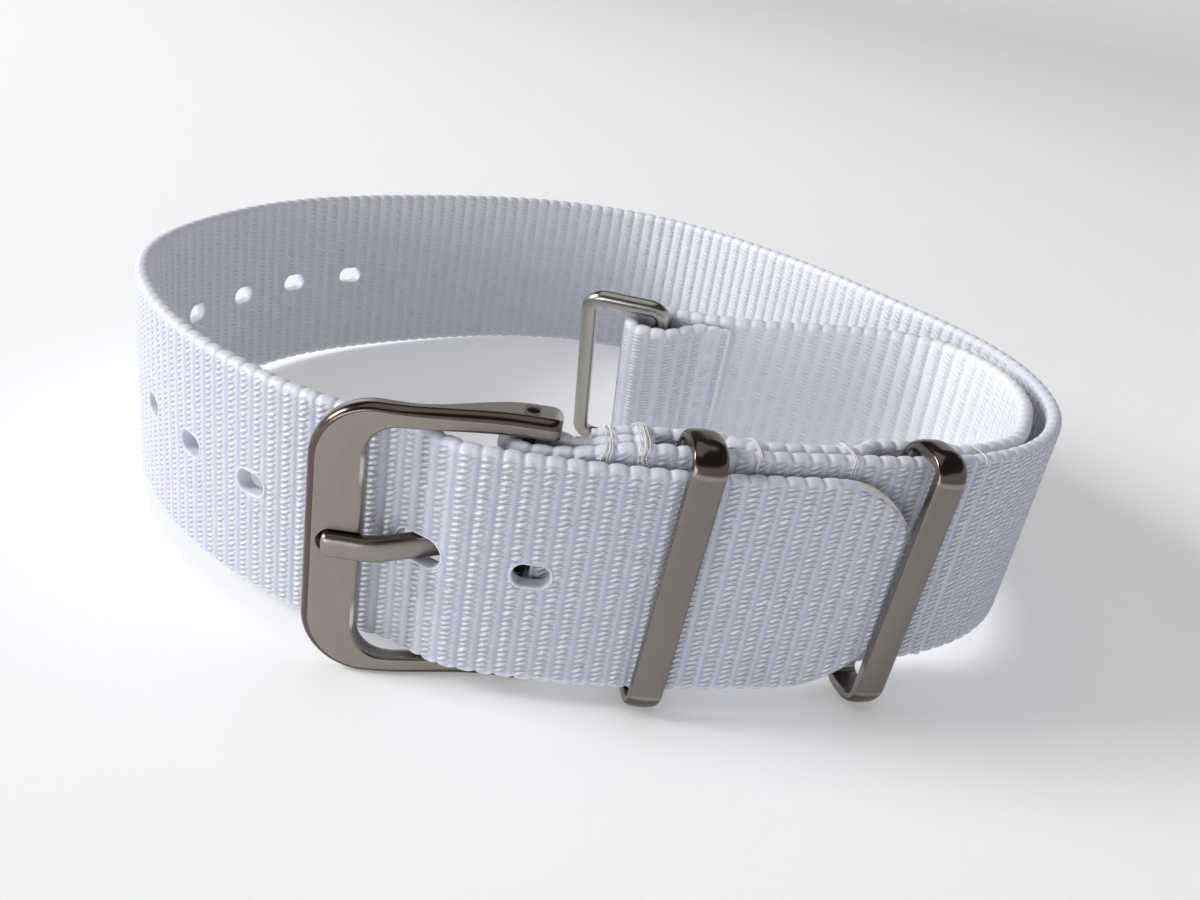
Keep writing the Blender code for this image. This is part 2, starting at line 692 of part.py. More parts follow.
def make_spring_bar(studio, hub, steel):
    """Tube with two sprung tips, whose pins stand in the legs of the frame."""
    flange_top = FRAME_INNER_HALF - FLANGE_CLEARANCE
    flange_foot = flange_top - FLANGE_HEIGHT
    half_barrel = flange_foot - TIP_TRAVEL - FLANGE_CLEARANCE
    pin_top = FRAME_HALF - PIN_RECESS
    stem_foot = half_barrel - STEM_LENGTH

    mesh, steps = turned("spring_bar_barrel", [
        (BAR_RADIUS, half_barrel), (BAR_RADIUS, -half_barrel),
        (BAR_BORE_RADIUS, -half_barrel), (BAR_BORE_RADIUS, half_barrel)], closed=True)
    add_screw(studio.node("spring_bar_barrel", mesh, steel, hub), steps)

    mesh, steps = turned("spring_bar_tip", [
        (0.0, pin_top), (PIN_RADIUS - PIN_CHAMFER, pin_top), (PIN_RADIUS, pin_top - PIN_CHAMFER),
        (PIN_RADIUS, flange_top), (FLANGE_RADIUS, flange_top), (FLANGE_RADIUS, flange_foot),
        (STEM_RADIUS, flange_foot), (STEM_RADIUS, stem_foot), (0.0, stem_foot)], steps=20)
    add_screw(studio.node("spring_bar_tip_upper", mesh, steel, hub), steps)
    add_screw(studio.node("spring_bar_tip_lower", mesh, steel, hub, rotation=(math.pi, 0, 0)),
              steps)

    half_spring = stem_foot - SPRING_CLEARANCE - SPRING_WIRE_RADIUS
    coil_radius = BAR_BORE_RADIUS - SPRING_CLEARANCE - SPRING_WIRE_RADIUS
    count = SPRING_CURLS * 8
    coil = [(coil_radius * math.cos(2 * math.pi * k / 8), coil_radius * math.sin(2 * math.pi * k / 8),
             half_spring * (2 * k / count - 1)) for k in range(count + 1)]
    gap = 2 * half_spring / SPRING_CURLS - 2 * SPRING_WIRE_RADIUS
    print(f"spring curls: least gap {gap * 1000:.2f} mm")
    curve = poly_curve("spring_bar_spring", coil, radius=SPRING_WIRE_RADIUS, resolution=1)
    studio.node("spring_bar_spring", mesh_of(studio, curve), steel, hub)


def front_bar_back(loop):
    """Distance from the spring bar's axis out to the back of the front bar, clear of the tail."""
    axis = loop.point(0.0, -FOLD_RADIUS)
    outside = loop.outward(0.0)
    reach = []
    for away in np.linspace(FRAME_REACH - LEG_BEND_INSIDE, FRAME_REACH, 9):
        place = loop.length - away
        rise = ramp(place, loop.length - TAIL_RISE_FAR, loop.length - TAIL_RISE_NEAR)
        face = loop.point(place, LAYER_PITCH * rise + HALF_THICKNESS)
        reach.append(float(np.dot(face - axis, outside)))
    return max(reach) + FRONT_BAR_CLEARANCE


def frame_sections(face, back):
    """Sections of the frame from the upper heel round the front bar to the lower heel.

    Each has its outer edge before its inner edge, at the face and then at the back.
    """
    outer_end = FRAME_REACH - FRAME_CORNER_RADIUS
    inner_end = FRAME_REACH - FRONT_BAR_WIDTH - FRAME_INNER_RADIUS
    half = []
    for angle in np.linspace(0.0, math.pi / 2, 4):
        x = HEEL_CORNER_RADIUS * (1.0 - math.cos(angle)) - FRAME_HEEL
        rounding = HEEL_CORNER_RADIUS * (1.0 - math.sin(angle))
        half.append(((x, FRAME_HALF - rounding / 2), (x, FRAME_INNER_HALF), rounding))
    heel_x = half[-1][0][0]
    for share in np.linspace(0.0, 1.0, 9)[1:-1]:
        half.append(((heel_x + (outer_end - heel_x) * share, FRAME_HALF),
                     (heel_x + (inner_end - heel_x) * share, FRAME_INNER_HALF), 0.0))
    for angle in np.linspace(math.pi / 2, 0.0, 9):
        c, s = math.cos(angle), math.sin(angle)
        outer, inner = FRAME_CORNER_RADIUS, FRAME_INNER_RADIUS
        half.append(((outer_end + outer * c, FRAME_HALF - outer + outer * s),
                     (inner_end + inner * c, FRAME_INNER_HALF - inner + inner * s), 0.0))
    mirrored = [((a, -b), (c, -d), rounding) for (a, b), (c, d), rounding in reversed(half)]
    sections = []
    for outer, inner, rounding in half + mirrored:
        corners = []
        for (x, z), faces in ((outer, (True, False)), (inner, (False, True))):
            for at_face in faces:
                if at_face:
                    rise = ramp(x, 0.0, FRAME_REACH - LEG_BEND)
                    y = HEEL_OUT + (face - HEEL_OUT) * rise - rounding
                else:
                    rise = ramp(x, 0.0, FRAME_REACH - LEG_BEND_INSIDE)
                    y = (back + HEEL_IN) * rise - HEEL_IN + rounding
                corners.append((x, y, z))
        sections.append(corners)
    return sections


def make_frame(studio, loop, hub, steel):
    """Buckle frame: one bar with rounded edges, bent round from heel to heel."""
    back = front_bar_back(loop)
    face = back + FRONT_BAR_DEPTH
    bar = rounded_bar("buckle_frame", frame_sections(face, back), FRAME_EDGE_RADII)
    frame = studio.node("buckle_frame", bar, steel, hub)
    holes = cylinder_mesh("pivot_holes", PIN_RADIUS + PIVOT_CLEARANCE, 2 * (FRAME_HALF + OVERRUN),
                          20)
    add_boolean(frame, studio.guide("pivot_holes", holes, hub))
    groove_radius = TONGUE_HEIGHT / 2 + GROOVE_CLEARANCE
    groove_y = face - GROOVE_DEPTH + groove_radius
    ends = (FRAME_REACH - FRONT_BAR_WIDTH - OVERRUN, TONGUE_REACH - GROOVE_RUN_OUT, TONGUE_REACH,
            TONGUE_REACH + GROOVE_RUN_OUT)
    curve = poly_curve("tongue_groove", [(x, groove_y, 0.0) for x in ends], radius=groove_radius,
                       resolution=8, radii=(1.0, 1.0, *GROOVE_END_SHARES))
    add_boolean(frame, studio.guide("tongue_groove", mesh_of(studio, curve), hub))
    return face


def make_tongue(studio, hub, face, steel):
    """Tongue: an eye round the spring bar and a bar that rises through the strap's hole."""
    rest = face - GROOVE_DEPTH + TONGUE_DEPTH / 2 + GROOVE_CLEARANCE
    line = smooth_curve([(x * TONGUE_REACH, y * rest) for x, y in TONGUE_RISE_SHARES], 4, False)
    points = [(x, y, 0.0) for x, y in line]
    radii = [1.0] * (len(points) - 2) + [0.95, 0.72]
    curve = poly_curve("buckle_tongue", points, radius=TONGUE_DEPTH / 2, resolution=4, radii=radii)
    flatten = Matrix.Diagonal((1.0, 1.0, TONGUE_HEIGHT / TONGUE_DEPTH, 1.0))
    tongue = studio.node("buckle_tongue", mesh_of(studio, curve, flatten), steel, hub)
    bore = BAR_RADIUS + EYE_CLEARANCE
    eye = cylinder_mesh("tongue_eye", bore + EYE_WALL, TONGUE_HEIGHT - FACE_STEP / 2, 32)
    add_boolean(tongue, studio.guide("tongue_eye", eye, hub), "UNION")
    hole = cylinder_mesh("tongue_bore", bore, TONGUE_HEIGHT + 2 * OVERRUN, 24)
    add_boolean(tongue, studio.guide("tongue_bore", hole, hub))


def make_keepers(studio, loop, steel):
    """Two flat bands that slide on the tail and the main strap, between the seams."""
    inner_depth = LAYER_PITCH + STRAP_THICKNESS + 2 * KEEPER_CLEARANCE
    inner_height = STRAP_WIDTH + FRONT_RAISE + 2 * KEEPER_END_CLEARANCE
    wall, half_band = KEEPER_WALL, KEEPER_BAND_WIDTH / 2
    outer = rounded_rectangle(inner_depth + 2 * wall, inner_height + 2 * wall,
                              KEEPER_CORNER_RADIUS, 8)
    inner = rounded_rectangle(inner_depth, inner_height, KEEPER_INNER_RADIUS, 8)
    sections = [[(half_band, *far), (-half_band, *far), (-half_band, *near), (half_band, *near)]
                for far, near in zip(outer, inner)]
    band = rounded_bar("keeper", sections, (KEEPER_EDGE_RADIUS,) * 4, cyclic=True)
    for name, place in zip(("keeper_front", "keeper_rear"), KEEPER_PLACES):
        middle = loop.point(place, LAYER_PITCH / 2)
        ahead = loop.tangent(place)
        z = strap_bottom(middle[1], loop) + (STRAP_WIDTH + FRONT_RAISE) / 2 - KEEPER_SETTLE
        studio.node(name, band, steel, None, (*middle, z),
                    (0, KEEPER_LEAN, math.atan2(ahead[1], ahead[0])))


def make_ring(studio, ring_place, steel):
    """Wire ring that hangs by one long side in the folded end of the short strap."""
    axis, ahead, ruling = ring_place
    turn = Matrix((ahead, ruling.cross(ahead), ruling)).transposed()
    hub = studio.empty("ring_axis", axis, turn.to_euler())
    height = STRAP_WIDTH + 2 * (RING_END_CLEARANCE + RING_WIRE_RADIUS)
    outline = rounded_rectangle(RING_WIDTH, height, RING_CORNER_RADIUS)
    points = [(x + RING_WIDTH / 2, 0.0, y) for x, y in outline]
    curve = poly_curve("tail_ring", points, cyclic=True, radius=RING_WIRE_RADIUS, resolution=3)
    studio.node("tail_ring", curve, steel, hub)


def stand_on_origin(studio):
    """Moves the whole part so that its box stands on the origin, centred."""
    bpy.context.view_layer.update()
    graph = bpy.context.evaluated_depsgraph_get()
    corners = []
    for thing in studio.nodes:
        shape = thing.evaluated_get(graph)
        mesh = shape.to_mesh()
        corners += [shape.matrix_world @ v.co for v in mesh.vertices]
        shape.to_mesh_clear()
    low = [min(c[k] for c in corners) for k in range(3)]
    high = [max(c[k] for c in corners) for k in range(3)]
    studio.root.location = (-(low[0] + high[0]) / 2, -(low[1] + high[1]) / 2, -low[2])
    bpy.context.view_layer.update()


def main():
    clear_scene()
    studio = Studio("nato_watch_strap")
    webbing = new_material("white_webbing", WHITE, 0.75, 0.0)
    lining = new_material("white_webbing_short", WHITE, 0.75, 0.0)
    thread = new_material("clear_thread", WHITE, 0.45, 0.0)
    frame_steel = new_material("frame_steel", STEEL, 0.30, 1.0)
    tongue_steel = new_material("tongue_steel", STEEL, 0.28, 1.0)
    bar_steel = new_material("bar_steel", STEEL, 0.25, 1.0)
    keeper_steel = new_material("keeper_steel", STEEL, 0.30, 1.0)
    ring_steel = new_material("ring_steel", STEEL, 0.22, 1.0)

    loop = Loop()
    make_main_strap(studio, loop, webbing)
    ring_place = make_short_strap(studio, loop, lining)
    make_seams(studio, loop, thread)

    axis = loop.point(0.0, -FOLD_RADIUS)
    left = -loop.tangent(0.0)
    height = strap_bottom(loop.point(0.0)[1], loop) + HALF_WIDTH
    hub = studio.empty("bar_axis", (*axis, height), (0, 0, math.atan2(left[1], left[0])))
    make_spring_bar(studio, hub, bar_steel)
    face = make_frame(studio, loop, hub, frame_steel)
    make_tongue(studio, hub, face, tongue_steel)
    make_keepers(studio, loop, keeper_steel)
    make_ring(studio, ring_place, ring_steel)
    stand_on_origin(studio)


main()
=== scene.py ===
"""Looks of the NATO watch strap: ribbed nylon webbing, sewing thread and steel.

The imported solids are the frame. The straps, their seams, the buckle, the keepers and the ring are
made again here in the places and sizes of the solids, with ribs, yarns, melted holes, stitches and
rounded edges. The spring bar's solids stay and are only painted. Units are metres.
"""

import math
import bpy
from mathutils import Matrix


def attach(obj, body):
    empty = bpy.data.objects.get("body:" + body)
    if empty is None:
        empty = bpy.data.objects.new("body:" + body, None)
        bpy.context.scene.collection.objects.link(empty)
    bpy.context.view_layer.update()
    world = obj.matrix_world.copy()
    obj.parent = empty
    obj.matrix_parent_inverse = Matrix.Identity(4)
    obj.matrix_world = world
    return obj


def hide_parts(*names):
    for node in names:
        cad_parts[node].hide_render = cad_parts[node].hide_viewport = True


bl_info = {
    "name": "NATO Watch Strap Looks",
    "version": (1, 0, 0),
    "blender": (4, 5, 0),
    "location": "View3D > Sidebar > Watch Strap",
    "description": "Webbing, thread and steel of a buckled pull-through watch strap",
    "category": "Object",
}

import bmesh
import bpy
import numpy as np
from bpy.props import FloatProperty, FloatVectorProperty, PointerProperty
from mathutils import Matrix, Vector

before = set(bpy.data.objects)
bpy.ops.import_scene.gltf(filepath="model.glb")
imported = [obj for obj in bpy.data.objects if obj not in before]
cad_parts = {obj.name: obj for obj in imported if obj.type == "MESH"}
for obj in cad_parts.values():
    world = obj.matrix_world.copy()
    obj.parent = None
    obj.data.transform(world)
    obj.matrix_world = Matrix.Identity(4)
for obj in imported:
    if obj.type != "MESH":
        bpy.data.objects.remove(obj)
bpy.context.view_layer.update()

# Place of the loop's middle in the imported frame
ROOT = np.array([0.0006173, 0.0014501, 0.0000015])

# Course of the two straps, as the solids have it
HALF_WIDTH = 0.0100
HALF_THICKNESS = 0.000625
LOOP_WIDTH, LOOP_DEPTH = 0.0881, 0.0788
LOOP_SHARES = (
    (-0.091, -0.500), (0.061, -0.487), (0.215, -0.441), (0.363, -0.374), (0.456, -0.275),
    (0.494, -0.137), (0.469, 0.019), (0.364, 0.191), (0.230, 0.368), (0.067, 0.487),
    (-0.114, 0.474), (-0.298, 0.346), (-0.440, 0.176), (-0.505, -0.033), (-0.488, -0.194),
    (-0.392, -0.350), (-0.250, -0.460),
)
BAR_PLACE_SHARE = -0.037
FRONT_LIFT, FRONT_RAISE = 0.0019, 0.0012
RAISE_END_SHARES = (0.28, 0.50)
BAR_RADIUS, FOLD_RADIUS = 0.0008, 0.001675
RETURN_LENGTH, RETURN_PITCH = 0.0094, 0.0014
LAYER_PITCH, SEWN_PITCH, POCKET_PITCH = 0.0017, 0.00155, 0.00295
STATION_STEP, FOLD_POINTS = 0.0016, 13
TAIL_LENGTH, TIP_LENGTH = 0.0323, 0.0088
TAIL_RISE_NEAR, TAIL_RISE_FAR = 0.0036, 0.0096
SHORT_START, SHORT_LEAVE, SEWN_GAP = 0.0048, 0.0450, 0.0003
SHORT_END_SHARE = (0.075, 0.038)
FREE_SHARES = (
    (0.0377, -0.1224), (0.1063, -0.2521), (0.2224, -0.3563), (0.3842, -0.4028),
    (0.5379, -0.3529), (0.7006, -0.2329), (0.8522, -0.1070), (1.0, 0.0),
)
SHORT_LEAN, FREE_LEAN_START = math.radians(26.0), 0.30
SHORT_RETURN, RING_FOLD_SLACK, RING_FOLD_RADIUS = 0.0088, 0.0018, 0.001675
RING_END_HEIGHT_PARTS = (0.0003, 0.0121)
KEEPER_PLACES, KEEPER_LEAN = (0.0122, 0.0316), math.radians(3.0)
POCKET_REACH, POCKET_RAMP = 0.00195 + HALF_WIDTH * math.tan(KEEPER_LEAN), 0.0030
SEAM_PLACES = (0.0058, 0.0084, 0.0173, 0.0252, 0.0376)

# Punched holes, length by height; the solids' hole in use is longer than the one that shows
HOLE, HOLE_ROUNDING, HOLE_STEPS = (0.0029, 0.0019), 0.49, 28
HOLE_PITCH, HOLE_COUNT = 0.00825, 12
USED_HOLE_LENGTH, USED_HOLE_PLACE = 0.005005, 0.0072215
SNUG_HOLE, SNUG_SHIFT = (0.0042, 0.0024), 0.0004
SLOT, SLOT_SHIFT, SLOT_ROUNDING = (0.00923, 0.0029), 0.000515, 0.0005

# Buckle, from the spring bar's axis
FRAME_INNER_HALF, FRAME_HALF = 0.0103, 0.0119
FRAME_REACH, FRAME_HEEL, FRONT_BAR_WIDTH, FRONT_BAR_DEPTH = 0.0158, 0.0023, 0.0043, 0.0017
FRAME_CORNER_RADIUS, FRAME_INNER_RADIUS, HEEL_CORNER_RADIUS = 0.0050, 0.0024, 0.0009
HEEL_OUT, HEEL_IN, HEEL_SHARES = 0.0017, 0.0015, (0.86, 0.985)
LEG_BEND, LEG_BEND_INSIDE = 0.304 * FRAME_REACH, 0.424 * FRAME_REACH
FRAME_EDGES = (0.0007, 0.00045, 0.00045, 0.0003)
# Polish of the frame's edges and sides; it also picks where the steel's painted reflections go
FRAME_POLISH = ((1.0, 0.75), (1.0, 0.4), (0.8, 0.5), (0.9, 0.0))
BACK_GAP, PIVOT_RADIUS, CUT_OVER = 0.0003, 0.0005, 0.001
GROOVE_RADIUS, GROOVE_DEPTH, GROOVE_RUN_OUT = 0.00125, 0.0008, 0.0005
GROOVE_SHARES = (1.0, 0.86, 0.4)
TONGUE_DEPTH, TONGUE_HEIGHT, TONGUE_REACH = 0.0015, 0.0021, 0.0143
TONGUE_GAP, TONGUE_TIP = 0.0002, 0.0007
TONGUE_RISE_SHARES = (
    (0.0, 0.0), (0.17, 0.06), (0.35, 0.24), (0.50, 0.51), (0.62, 0.78), (0.70, 0.94), (0.77, 1.0),
    (0.88, 1.0), (1.0, 1.0),
)
EYE_BORE, EYE_RADIUS, EYE_HALF, EYE_BEVEL = 0.0009, 0.0017, 0.00104, 0.0002

# Keepers and ring
KEEPER_HALF_BAND, KEEPER_WALL = 0.00135, 0.0011
KEEPER_INNER = (0.00355, 0.0222)
KEEPER_RADII, KEEPER_SETTLE = (0.0023, 0.0006), 0.0001
KEEPER_CROWN, KEEPER_SHINE, KEEPER_INNER_EDGE = (0.00045, 0.00110), (0.0022, 0.0004), 0.0002
RING_WIRE_RADIUS, RING_WIDTH, RING_HEIGHT, RING_CORNER_RADIUS = 0.00085, 0.0078, 0.0225, 0.0016


# What the settings of one kind have in common
LENGTH = {"min": 0.0, "unit": "LENGTH"}
COLOUR = {"min": 0.0, "max": 1.0, "size": 3, "subtype": "COLOR"}
SHARE = {"min": 0.0, "max": 1.0, "subtype": "FACTOR"}
POWER = {"min": 0.0, "unit": "POWER"}


class WebbingSettings(bpy.types.PropertyGroup):
    """Sizes and colours of the nylon webbing."""

    rib_pitch: FloatProperty(
        name="Rib pitch", description="Distance from one rib to the next",
        default=0.00152, min=0.0005, max=0.004, unit="LENGTH")
    rib_height: FloatProperty(
        name="Rib height", description="Height of a rib over the valleys beside it",
        default=0.00014, max=0.0006, **LENGTH)
    selvedge_height: FloatProperty(
        name="Selvedge height", description="How far a rib's end stands out of the strap's edge",
        default=0.00016, max=0.0006, **LENGTH)
    yarn_pitch: FloatProperty(
        name="Yarn pitch", description="Distance between two yarns across the strap",
        default=0.0005, min=0.0002, max=0.002, unit="LENGTH")
    # Colour of the yarns; at full strength it is also the painted highlight of their glints
    yarn_and_highlight_colour: FloatVectorProperty(
        name="Light colour", description="Colour of the yarns on top",
        default=(0.93, 0.945, 0.985), **COLOUR)
    # Painted shade: the colour in the valleys of the weave and wherever no painted glint lightens
    # it
    painted_shade_colour: FloatVectorProperty(
        name="Shade colour", description="Colour in the valleys of the weave",
        default=(0.43, 0.455, 0.615), **COLOUR)
    melted_colour: FloatVectorProperty(
        name="Melted colour", description="Colour of the webbing where it was cut hot",
        default=(0.82, 0.80, 0.73), **COLOUR)


class ThreadSettings(bpy.types.PropertyGroup):
    """Sizes and colours of the sewing thread."""

    radius: FloatProperty(
        name="Thread radius", description="Radius of one strand of thread",
        default=0.00004, min=0.00003, max=0.0003, unit="LENGTH")
    colour: FloatVectorProperty(
        name="Thread colour", description="Colour of the sewing thread",
        default=(0.88, 0.86, 0.78), **COLOUR)


class SteelSettings(bpy.types.PropertyGroup):
    """Colours, painted reflections and polish of the steel pieces."""

    colour: FloatVectorProperty(
        name="Steel colour", description="Colour of the brushed steel",
        default=(0.335, 0.305, 0.268), **COLOUR)
    # Painted bright reflection on steel whose polish lies in the satin band
    painted_satin_reflection: FloatVectorProperty(
        name="Satin colour", description="Colour of the satin sides",
        default=(0.54, 0.515, 0.47), **COLOUR)
    # Painted dark reflection on the polished edges
    painted_edge_reflection: FloatVectorProperty(
        name="Edge colour", description="Colour of the polished edges",
        default=(0.13, 0.10, 0.085), **COLOUR)
    brushed_roughness: FloatProperty(
        name="Brushed roughness", description="Roughness of the brushed faces",
        default=0.36, **SHARE)
    polished_roughness: FloatProperty(
        name="Polished roughness", description="Roughness of the polished edges",
        default=0.19, **SHARE)


class StageSettings(bpy.types.PropertyGroup):
    """Floor, lights and camera."""

    floor_colour: FloatVectorProperty(
        name="Floor colour", description="Colour of the plain floor",
        default=(0.88, 0.88, 0.89), **COLOUR)
    key_power: FloatProperty(
        name="Key light", description="Power of the soft light on the left",
        default=12.0, **POWER)
    top_power: FloatProperty(
        name="Top light", description="Power of the wide light overhead",
        default=1.3, **POWER)
    fill_power: FloatProperty(
        name="Fill light", description="Power of the low light in front",
        default=1.15, **POWER)


def math_node(operation, swapped=False):
    """A method that adds a Math node; swapped puts the field after the other value."""
    def method(field, *others):
        values = (*others, field) if swapped else (field, *others)
        made = field.finish.node("ShaderNodeMath", {"operation": operation},
                                 dict(enumerate(values)))
        return Field(field.finish, made.outputs[0])
    return method


class Field:
    """A number that varies over a surface; expressions on it add Math nodes."""

    def __init__(self, finish, socket):
        self.finish = finish
        self.socket = socket

    __add__ = __radd__ = math_node("ADD")
    __sub__ = math_node("SUBTRACT")
    __rsub__ = math_node("SUBTRACT", swapped=True)
    __mul__ = __rmul__ = math_node("MULTIPLY")
    __truediv__ = math_node("DIVIDE")
    __pow__ = math_node("POWER")
    sine = math_node("SINE")
    floor = math_node("FLOOR")
    fraction = math_node("FRACT")
    size = math_node("ABSOLUTE")
    most = math_node("MAXIMUM")
    least = math_node("MINIMUM")

    def step(self, start, end):
        """Smooth step: 0 below start, 1 above end."""
        made = self.finish.node("ShaderNodeMapRange", {"interpolation_type": "SMOOTHSTEP"},
                                {"Value": self, "From Min": start, "From Max": end})
        return Field(self.finish, made.outputs["Result"])


class Finish:
    """A material with one main shader, and the nodes that vary it."""

    def __init__(self, name, **constants):
        self.material = bpy.data.materials.new(name)
        self.material.use_nodes = True
        self.tree = self.material.node_tree
        self.shader = self.tree.nodes["Principled BSDF"]
        for key, value in constants.items():
            self.shader.inputs[key.replace("_", " ")].default_value = value

    def node(self, kind, settings=None, values=None):
        """Adds a node, sets what it is, then links or fills its sockets."""
        made = self.tree.nodes.new(kind)
        for key, value in (settings or {}).items():
            setattr(made, key, value)
        for key, value in (values or {}).items():
            self.feed(made.inputs[key], value)
        return made

    def feed(self, target, value):
        if isinstance(value, Field):
            value = value.socket
        if isinstance(value, bpy.types.NodeSocket):
            self.tree.links.new(value, target)
        elif hasattr(value, "__len__") and len(target.default_value) == len(value) + 1:
            target.default_value = (*value, 1.0)
        else:
            target.default_value = value

    def attribute(self, name):
        made = self.node("ShaderNodeAttribute", {"attribute_name": name})
        return Field(self, made.outputs["Fac"])

    def places(self):
        """The three coordinates of the surface in the piece's own frame."""
        where = self.node("ShaderNodeTexCoord").outputs["Object"]
        parts = self.node("ShaderNodeSeparateXYZ", None, {0: where})
        return [Field(self, out) for out in parts.outputs]

    def noise(self, x, y, z, detail=2.0):
        """Noise at a place; how far x, y and z are stretched sets its size each way."""
        where = self.node("ShaderNodeCombineXYZ", None, {0: x, 1: y, 2: z}).outputs[0]
        made = self.node("ShaderNodeTexNoise", None,
                         {"Vector": where, "Scale": 1.0, "Detail": detail})
        return Field(self, made.outputs[0])

    def blend(self, share, first, second):
        """Colour between two colours."""
        made = self.node("ShaderNodeMix", {"data_type": "RGBA"}, {0: share, 6: first, 7: second})
        return made.outputs[2]

    def bump(self, height, distance, strength=1.0):
        made = self.node("ShaderNodeBump", None,
                         {"Height": height, "Distance": distance, "Strength": strength})
        return made.outputs[0]

    def vary(self, **sockets):
        for key, value in sockets.items():
            self.feed(self.shader.inputs[key.replace("_", " ")], value)


def ramp(value, start, end):
    """Smooth step from 0 at start to 1 at end, for numbers and arrays."""
    share = np.clip((np.asarray(value, float) - start) / (end - start), 0.0, 1.0)
    return share * share * (3.0 - 2.0 * share)


def smooth_curve(points, samples, closed):
    """Points of a Catmull-Rom curve through the given points."""
    p = np.array(points, float)
    if closed:
        p = np.vstack([p[-1:], p, p[:2]])
    else:
        p = np.vstack([2 * p[:1] - p[1:2], p, 2 * p[-1:] - p[-2:-1]])
    out = []
    for a, b, c, d in zip(p, p[1:], p[2:], p[3:]):
        for k in range(samples):
            t = k / samples
            out.append(0.5 * (2 * b + (c - a) * t + (2 * a - 5 * b + 4 * c - d) * t * t
                              + (3 * b - a - 3 * c + d) * t ** 3))
    if not closed:
        out.append(p[-2])
    return np.array(out)


def lengths_along(points):
    steps = np.linalg.norm(np.diff(points, axis=0), axis=1)
    return np.concatenate([[0.0], np.cumsum(steps)])


def unit(vectors):
    return vectors / np.linalg.norm(vectors, axis=-1, keepdims=True)


def places_between(start, end, step):
    return np.linspace(start, end, max(2, math.ceil(abs(end - start) / step) + 1))


class Loop:
    """The closed line in plan that the main strap follows, measured from the spring bar."""

    def __init__(self):
        corners = [(x * LOOP_WIDTH, y * LOOP_DEPTH) for x, y in LOOP_SHARES]
        points = smooth_curve(corners, 60, closed=True)
        bar_x = BAR_PLACE_SHARE * LOOP_WIDTH
        front = [i for i, p in enumerate(points) if p[1] < 0]
        first = min(front, key=lambda i: abs(points[i][0] - bar_x))
        points = np.roll(points, -first, axis=0)
        self.points = np.vstack([points, points[:1]])
        self.places = lengths_along(self.points)
        self.length = float(self.places[-1])
        tangents = unit(np.roll(points, -1, axis=0) - np.roll(points, 1, axis=0))
        self.tangents = np.vstack([tangents, tangents[:1]])
        self.back = float(points[:, 1].max())
        self.front = float(self.point(0.0)[1])

    def look_up(self, table, place):
        place %= self.length
        return np.array([np.interp(place, self.places, table[:, k]) for k in (0, 1)])

    def tangent(self, place):
        return unit(self.look_up(self.tangents, place))

    def outward(self, place):
        tangent = self.tangent(place)
        return np.array([tangent[1], -tangent[0]])

    def point(self, place, outward=0.0):
        return self.look_up(self.points, place) + outward * self.outward(place)

    def middle(self, xy):
        """Height of the strap's middle over the floor."""
        return FRONT_LIFT * (self.back - xy[1]) / (self.back - self.front) + HALF_WIDTH

    def tail_rise(self, place):
        """How far the tail has come out over the strap's start, from 0 to 1."""
        return ramp(place, self.length - TAIL_RISE_FAR, self.length - TAIL_RISE_NEAR)

    def raised(self, place):
        """How far the sewn straps are raised above the tail at a place."""
        start = ramp(place, 2 * HALF_THICKNESS, RETURN_LENGTH)
        return float(FRONT_RAISE * start * (1.0 - ramp(place / self.length, *RAISE_END_SHARES)))


def main_course(loop):
    """Points of the main strap from its folded end to the tip, each one's place and lift."""
    points, places = [], []

    def add(place, xy):
        points.append((*xy, loop.middle(xy)))
        places.append(place)

    near = 2 * FOLD_RADIUS
    for place in places_between(RETURN_LENGTH, 0.0, STATION_STEP / 2)[:-1]:
        share = ramp(place, BAR_RADIUS, SHORT_START - SEWN_GAP)
        add(-place, loop.point(place, (near - RETURN_PITCH) * share - near))
    axis = loop.point(0.0, -FOLD_RADIUS)
    ahead, inside = loop.tangent(0.0), -loop.outward(0.0)
    for angle in np.linspace(0.0, math.pi, FOLD_POINTS):
        add(0.0, axis + FOLD_RADIUS * (inside * math.cos(angle) - ahead * math.sin(angle)))
    for place in places_between(0.0, loop.length + TAIL_LENGTH, STATION_STEP)[1:]:
        add(place, loop.point(place, LAYER_PITCH * loop.tail_rise(place)))
    lifts = np.array([loop.raised(abs(place)) for place in places])
    return np.array(points), np.array(places), lifts


def short_pitch(place):
    """Distance of the short strap inward from the main strap, with a pocket at each keeper."""
    first, second = KEEPER_PLACES
    share = 1.0 - ramp(place, first + POCKET_REACH, first + POCKET_REACH + POCKET_RAMP)
    share += ramp(place, second - POCKET_REACH - POCKET_RAMP, second - POCKET_REACH)
    share -= ramp(place, second + POCKET_REACH, second + POCKET_REACH + POCKET_RAMP)
    return SEWN_PITCH + (POCKET_PITCH - SEWN_PITCH) * share


